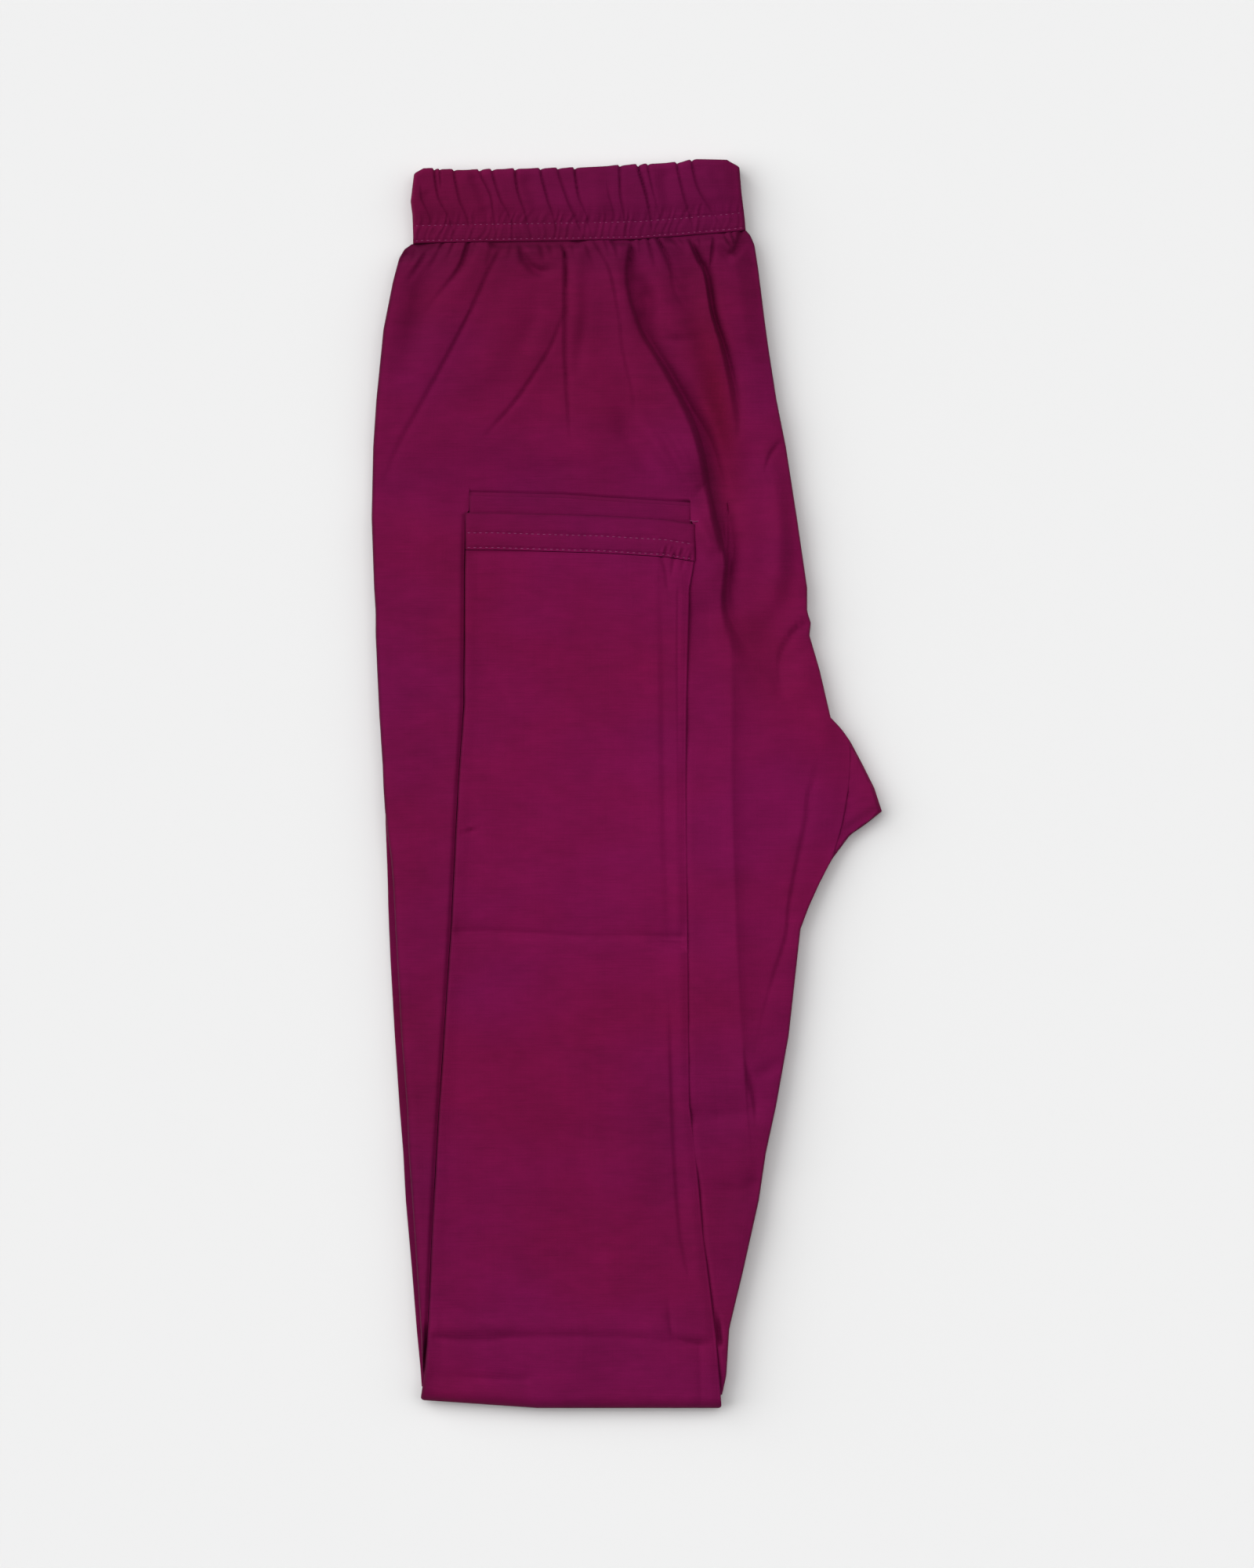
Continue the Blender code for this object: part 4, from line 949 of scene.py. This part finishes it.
def make_hem(name, outline, hem_line, base, top, lip_step, relief_share):
    """A turned hem: rows run across the leg and each ring goes round its two lips."""
    left, right = edges_at(outline, hem_line[0][1] - HEM_MIDDLE)
    x = places_along(left, right, [0, 0.15, 0.45, 0.9, 1.5], 2.2, 190)
    middle = (base + top) / 2
    lip = (top - base) / 2 - 0.1
    lower = np.radians([-90, -50, -15, 20, 55, 80])
    upper = np.radians([-80, -50, -15, 20, 50, 72])
    face = lip_step + np.linspace(0.8, HEM_DEPTH, 52) * (HEM_DEPTH - lip_step) / HEM_DEPTH
    depth = np.concatenate([LIP_ROUND * (1 - np.cos(lower)), [GROOVE + lip_step],
                            lip_step + LIP_ROUND * (1 - np.cos(upper)), face])
    level = np.concatenate([base + lip / 2 * (1 + np.sin(lower)), [middle],
                            top - lip / 2 * (1 - np.sin(upper)), np.full(len(face), top)])
    from_end = np.minimum(x - left, right - x)
    fullness = 0.25 + 0.75 * round_end(from_end, 2)
    edge = line_at(hem_line, x)
    on_face = np.arange(len(depth)) >= len(depth) - len(face)
    lift = relief_share * hem_relief(x + 0 * depth, depth + 0 * x) * ease(from_end / 3) * on_face
    outer = sheet_of(x, edge - depth, middle + (level + lift - middle) * fullness)[:, ::-1]
    back = np.linspace(HEM_DEPTH, 1.5, 4)
    inner = sheet_of(x, edge - back, middle + (base - middle) * fullness)

    def painted_shade(x, y):
        """Painted shade along the folded edge and at the left end."""
        from_fold = line_at(hem_line, x) - y
        at_fold = 0.28 * relief_share * bell(from_fold, 0.75)
        return at_fold + 0.3 * bell(x - left, 0.9)

    return lofted_cloth(name, outer, inner, rows_run_up=True, painted_shade=painted_shade)


inner_hem = make_hem("inner_hem", INNER_SHIN, INNER_HEM_LINE, INNER_SHIN_BASE,
                     INNER_SHIN_BASE + SHIN_THICKNESS, 1.6, 0.35)
dress(inner_hem, slub_cotton("inner_hem_slub_cotton", 0.98), "left_leg_hem")
outer_hem = make_hem("outer_hem", OUTER_SHIN, OUTER_HEM_LINE, OUTER_SHIN_BASE, OUTER_HEM_TOP, 0, 1)
dress(outer_hem, slub_cotton("outer_hem_slub_cotton", 1.02), "right_leg_hem")


# Waistband casing: the trousers' own cotton turned over an elastic and sewn down with a twin
# needle. The elastic draws it into pleats above the sewn rows and fine gathers between them.
BAND_BASE = BAND_UNDER_TOP + GAP
BAND_SEAM_THICKNESS = 2.2
BAND_SWELL = 1.8
TOP_ROUND = 2.6
LOWER_ROW = 1.3
UPPER_ROW = 8.0
PLEAT_END = 6


def pleat(drops, rise, lip, *route):
    """A tuck of the casing, carried on, fainter, between the sewn rows."""
    (start_x, start_y), (x, y) = route[-2:]
    end = (x + PLEAT_END * (x - start_x) / (start_y - y), y - PLEAT_END)
    return Tuck("pleat", (*drops, 0.3), 0.8, rise, lip, rise - 0.6, [*route, end])


BAND_PLEATS = [
    pleat((0, 0.8, 0.5, 0.1), 2.8, 0.28, (-93.5, 268), (-92.8, 263), (-90.6, 257), (-88.2, 250)),
    pleat((1.2, 1, 0.8, 0.5), 3, 0.35, (-88, 275), (-84.7, 262), (-80.5, 254), (-78.5, 249)),
    pleat((0.8, 0.7, 0), 2.2, 0.21, (-85, 275), (-84, 269), (-83.4, 265)),
    pleat((0.9, 1, 0.8, 0.5), 3, 0.35, (-78, 274), (-75, 261), (-72.5, 255), (-70.5, 249)),
    pleat((1.2, 1.2, 0.8, 0.5), 3, 0.28, (-67, 274), (-61.5, 263.5), (-60, 256), (-59, 249)),
    pleat((1.2, 1, 0.9, 0.5), 3, 0.35, (-61.3, 275), (-56.7, 261), (-53.5, 255.5), (-51.5, 250)),
    pleat((1.2, 1.2, 0.8, 0.5), 3, 0.35, (-50.6, 275), (-49, 264.5), (-46, 256), (-44.2, 249)),
    pleat((1, 1.2, 1, 0.5), 3, 0.35, (-39.5, 275), (-35.7, 261), (-33.2, 254), (-32, 249)),
    pleat((0.9, 1, 1, 0.8), 3.2, 0.35, (-31.8, 275), (-26.6, 260), (-22.5, 251), (-20, 245)),
    pleat((1.2, 1.2, 0.8, 0.5), 2.8, 0.35, (-24, 275), (-21.7, 262), (-18.6, 255), (-17, 249)),
    pleat((0, 0.4, 0.4, 0.1), 3.6, 0.14, (-9.5, 269), (-8, 262), (-6.3, 256), (-5, 250)),
    pleat((0.9, 0.9, 0.8, 0.5), 3.2, 0.35, (-3.6, 276), (-3.2, 263), (-1.8, 256), (-0.8, 249)),
    pleat((1.6, 1.8, 1.3, 0.8), 3.2, 0.35, (3.8, 277), (7.7, 264.5), (9.5, 257), (10.8, 249)),
    pleat((1, 0.8, 0.3), 2.2, 0.28, (8.6, 277), (10.9, 267), (13, 259)),
    pleat((0.9, 1, 0.9, 0.5), 3.2, 0.35, (21.4, 278), (25, 263), (27, 256.5), (28.6, 251)),
    pleat((1.2, 1, 0.9, 0.5), 3.4, 0.35, (28, 279), (31.2, 266.5), (35.5, 259), (40, 252.5)),
]
BAND_ROLLS = [
    Roll("end puff", (0.9, 0.5), 4, [(46, 270), (47, 256)]),
    Roll("puff beside the last pleat", (0.8, 0.6), 3.5, [(36, 272), (43, 258)]),
    Roll("middle puff", (0.7, 0.6), 4, [(-14, 270), (-11, 256)]),
    Roll("centre hollow", (-1, -0.8), 3, [(16.5, 270), (19, 257)]),
    Roll("left puff", (0.7, 0.5), 3, [(-71, 270), (-66, 258)]),
    Roll("left hollow", (-0.9, -0.8), 3, [(-68, 270), (-62.5, 257)]),
    Roll("flat", (-0.9, -0.6), 3, [(-44, 268), (-40, 256)]),
    Roll("end hollow", (-0.8, -0.5), 2.6, [(-90, 262), (-86, 252)]),
]


def band_face(x, rise):
    """Height of the casing's face at a distance above the seam, without its rounded edges."""
    y = seam_line(x) + rise
    swell = BAND_SWELL * ease((rise - UPPER_ROW + 1.5) / 11.0) * (0.3 + 0.7 * ease((52 - x) / 12))
    pleats = tuck_height(BAND_PLEATS, x, y) + roll_height(BAND_ROLLS, x, y)
    warped = x + 1.3 * wander(x, rise, 15, 61) - 0.2 * rise
    gathers = np.sin(2 * pi * warped / 3.6) + 0.5 * np.sin(2 * pi * warped / 2.3 + 1.0)
    between = ease((rise - 0.6) / 1.2) * (1 - ease((rise - UPPER_ROW + 0.5) / 1.0))
    above = ease((rise - UPPER_ROW) / 1.2) * (1 - ease((rise - UPPER_ROW - 1) / 6.5))
    rows = bell(rise - LOWER_ROW, 0.7) + bell(rise - UPPER_ROW, 0.8)
    height = BAND_SEAM_THICKNESS + swell + pleats * (0.4 + 0.6 * ease((rise - 2) / 8))
    gathers = gathers * (0.8 + 0.5 * wander(x, 0 * rise, 13, 63))
    height = height + 0.14 * gathers * between + 0.18 * gathers * above - 0.22 * rows
    height = height + 0.12 * wander(x, rise, 11, 62)
    return BAND_BASE + np.maximum(height, 0.9)


def make_casing():
    """The casing: rows run along the band and each ring goes up its face and over the top edge."""
    start, stop = BAND_EDGES[0].x, BAND_EDGES[-1].x
    x = places_along(start, stop, [0, 0.2, 0.6, 1.2], 1.9, 330)
    seam, top = edges_at(BAND_EDGES, x)
    end_round = round_end(np.minimum(x - start, stop - x), 1.3, 0.02)
    notch = np.clip(tuck_height(BAND_PLEATS, x, top - 1.5), -1.2, 0.5)
    top = top + 0.8 * notch - 0.6 * (1 - end_round)
    rise = 0.5 + np.linspace(0, 1, 66) * (top - seam - TOP_ROUND - 0.5)
    face = band_face(x + 0 * rise, rise) - BAND_BASE
    turns = np.radians([68, 48, 30, 12, -8, -30])
    over_edge = 0.5 * face[:, -1:] * (1 + np.sin(turns))
    ring_y = np.hstack([seam + [0, -0.1, 0.1], seam + rise, top - TOP_ROUND * (1 - np.cos(turns))])
    level = np.hstack([0 * seam + [0, 0.7, 1.5], face, over_edge]) * (0.2 + 0.8 * end_round)
    outer = slanted(x, ring_y, BAND_BASE + level, seam)
    inner = slanted(x, evenly(seam + 1, top - 2, 4), BAND_BASE, seam)
    return lofted_cloth("waistband_casing", outer, inner, rows_run_up=True)


casing = make_casing()
# The casing's colour is painted darker, as painted shade of the gathered cloth.
dress(casing, slub_cotton("waistband_slub_cotton", 0.90), "waistband_left")


# Twin-needle sewing: polyester thread, a shade lighter than the cloth, in two even rows along the
# waist seam and two along the hem.
THREAD = (0.205, 0.018, 0.10)
STITCH_PITCH = 2.6
STITCH_LENGTH = 1.5
THREAD_WIDTH = 0.38
SUNK = 0.11
HEM_LEFT = -72.3
HEM_RIGHT = 30.4


def stitch_tree():
    """Nodes that lay one rounded stitch at each even step along a curve."""
    tree = bpy.data.node_groups.new("twin_needle_stitches", "GeometryNodeTree")
    sockets = {}
    for name, kind in (("Rows", "Geometry"), ("Spacing", "Float"), ("Length", "Float"),
                       ("Width", "Float"), ("Thread", "Material")):
        socket = tree.interface.new_socket(name, in_out="INPUT", socket_type="NodeSocket" + kind)
        sockets[name] = socket.identifier
    tree.interface.new_socket("Stitches", in_out="OUTPUT", socket_type="NodeSocketGeometry")
    given = add_node(tree, "NodeGroupInput", {}).outputs
    steps = add_node(tree, "GeometryNodeResampleCurve",
                     {"Curve": given["Rows"], "Length": given["Spacing"]}, mode="LENGTH")
    bead = add_node(tree, "GeometryNodeMeshUVSphere", {"Segments": 8, "Rings": 5, "Radius": 0.5})
    tangent = add_node(tree, "GeometryNodeInputTangent", {})
    turn = add_node(tree, "FunctionNodeAlignRotationToVector", {"Vector": tangent}, axis="X")
    size = add_node(tree, "ShaderNodeCombineXYZ",
                    {"X": given["Length"], "Y": given["Width"], "Z": given["Width"]})
    lay = add_node(tree, "GeometryNodeInstanceOnPoints",
                   {"Points": steps, "Instance": bead, "Rotation": turn, "Scale": size})
    real = add_node(tree, "GeometryNodeRealizeInstances", {"Geometry": lay})
    coat = add_node(tree, "GeometryNodeSetMaterial", {"Geometry": real, "Material": given["Thread"]})
    add_node(tree, "NodeGroupOutput", {"Stitches": coat})
    return tree, sockets


def thread_finish():
    """Plied polyester: a soft gloss and a fine twist along each stitch."""
    thread, tree, shader = new_finish("sewing_thread")
    place = add_node(tree, "ShaderNodeTexCoord", {})
    twist = add_node(tree, "ShaderNodeTexNoise", {"Vector": place.outputs["Object"], "Scale": 900})
    colour = add_node(tree, "ShaderNodeMix", {
        "Factor": twist, "A": shaded(THREAD, 0.7), "B": shaded(THREAD, 1.25)}, data_type="RGBA")
    bump = add_node(tree, "ShaderNodeBump", {"Distance": 0.00008, "Height": twist})
    feed(shader, {"Roughness": 0.6, "Base Color": colour.outputs["Result"], "Normal": bump})
    return thread


STITCHES, STITCH_INPUTS = stitch_tree()
SEWING_THREAD = thread_finish()


def sew(name, rows, pitch=STITCH_PITCH):
    """Rows of stitches along lines of points, as one plain mesh."""
    curve = bpy.data.curves.new(name + "_lines", "CURVE")
    curve.dimensions = "3D"
    for row in rows:
        spline = curve.splines.new("POLY")
        spline.points.add(len(row) - 1)
        spline.points.foreach_set("co", np.c_[row * MM, np.ones(len(row))].ravel())
    lines = put(name + "_lines", curve)
    sewing = lines.modifiers.new("sewing", "NODES")
    sewing.node_group = STITCHES
    for socket, value in (("Spacing", pitch * MM), ("Length", STITCH_LENGTH * MM),
                          ("Width", THREAD_WIDTH * MM), ("Thread", SEWING_THREAD)):
        sewing[STITCH_INPUTS[socket]] = value
    ready = lines.evaluated_get(bpy.context.evaluated_depsgraph_get())
    mesh = bpy.data.meshes.new_from_object(ready)
    mesh.name = name
    mesh.shade_smooth()
    bpy.data.objects.remove(lines)
    stitches = put(name, mesh)
    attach(stitches, "root")


def band_row(rise, start, stop):
    """A line on the casing's face at a height above the seam."""
    x = np.linspace(start, stop, 400)
    height = band_face(x, np.full(len(x), rise)) - SUNK
    return np.stack([x + end_slant(x, rise), seam_line(x) + rise, height], axis=1)


def hem_row(depth):
    """A line on the outer hem's face at a depth below its folded edge."""
    x = np.linspace(HEM_LEFT + 1.8, HEM_RIGHT - 2.9, 260)
    from_end = np.minimum(x - HEM_LEFT, HEM_RIGHT - x)
    height = OUTER_HEM_TOP + hem_relief(x, np.full(len(x), depth)) * ease(from_end / 3) + 0.03
    return np.stack([x, line_at(OUTER_HEM_LINE, x) - depth, height], axis=1)


sew("waistband_stitches", [band_row(LOWER_ROW, -95.5, 51), band_row(UPPER_ROW, -95, 50.5)])
sew("hem_stitches", [hem_row(depth) for depth in ROW_PLACES])
tail = np.array([(28.6, 117.4, 11.9), (30.2, 117, 12), (32.3, 117.3, 11.4), (34.6, 116.6, 10.9)])
sew("hem_thread_tail", [tail], pitch=0.8)


# Surface and light: a plain pale floor, a wide soft light from the upper left and a pale surround.
FLOOR_GREY = 0.80
FLOOR_REACH = 6


def make_floor():
    """A plain floor, wide enough for every view."""
    mesh = bpy.data.meshes.new("floor")
    corners = [(x * FLOOR_REACH, y * FLOOR_REACH, 0) for x, y in ((-1, -1), (1, -1), (1, 1), (-1, 1))]
    mesh.from_pydata(corners, [], [(0, 1, 2, 3)])
    paint, _, shader = new_finish("floor_grey")
    feed(shader, {"Base Color": shaded([FLOOR_GREY] * 3, 1), "Roughness": 1, "Specular IOR Level": 0})
    mesh.materials.append(paint)
    put("floor", mesh)


def make_light(name, strength, spread_degrees, tilt, turn):
    """A far, wide light: tilt from straight above, turned round +Z from the +X side."""
    lamp = bpy.data.lights.new(name, "SUN")
    lamp.energy = strength
    lamp.angle = np.radians(spread_degrees)
    put(name, lamp).rotation_euler = (0, np.radians(tilt), np.radians(turn))


make_floor()
make_light("soft_key", 2.72, 64, 56, 162)
make_light("soft_fill", 0.72, 60, 50, 15)
make_light("soft_top", 1.36, 60, 20, 90)
surround = bpy.data.worlds.new("pale_surround")
surround.use_nodes = True
feed(surround.node_tree.nodes["Background"], {"Color": (1, 1, 1, 1), "Strength": 0.06})
bpy.context.scene.world = surround
bpy.context.scene.view_settings.view_transform = "Standard"

# Camera: straight above, far off with a long lens, 700 mm of the surface from top to bottom.
CAMERA_HEIGHT = 6.0
FRAME_HEIGHT = 0.70
SENSOR = 36.0
HALF_STACK = 0.006
camera_data = bpy.data.cameras.new("camera")
camera_data.sensor_width = SENSOR
camera_data.lens = SENSOR * (CAMERA_HEIGHT - HALF_STACK) / FRAME_HEIGHT
camera_data.clip_end = 50
camera = put("camera", camera_data)
camera.location = (0, 0, CAMERA_HEIGHT)
bpy.context.scene.camera = camera
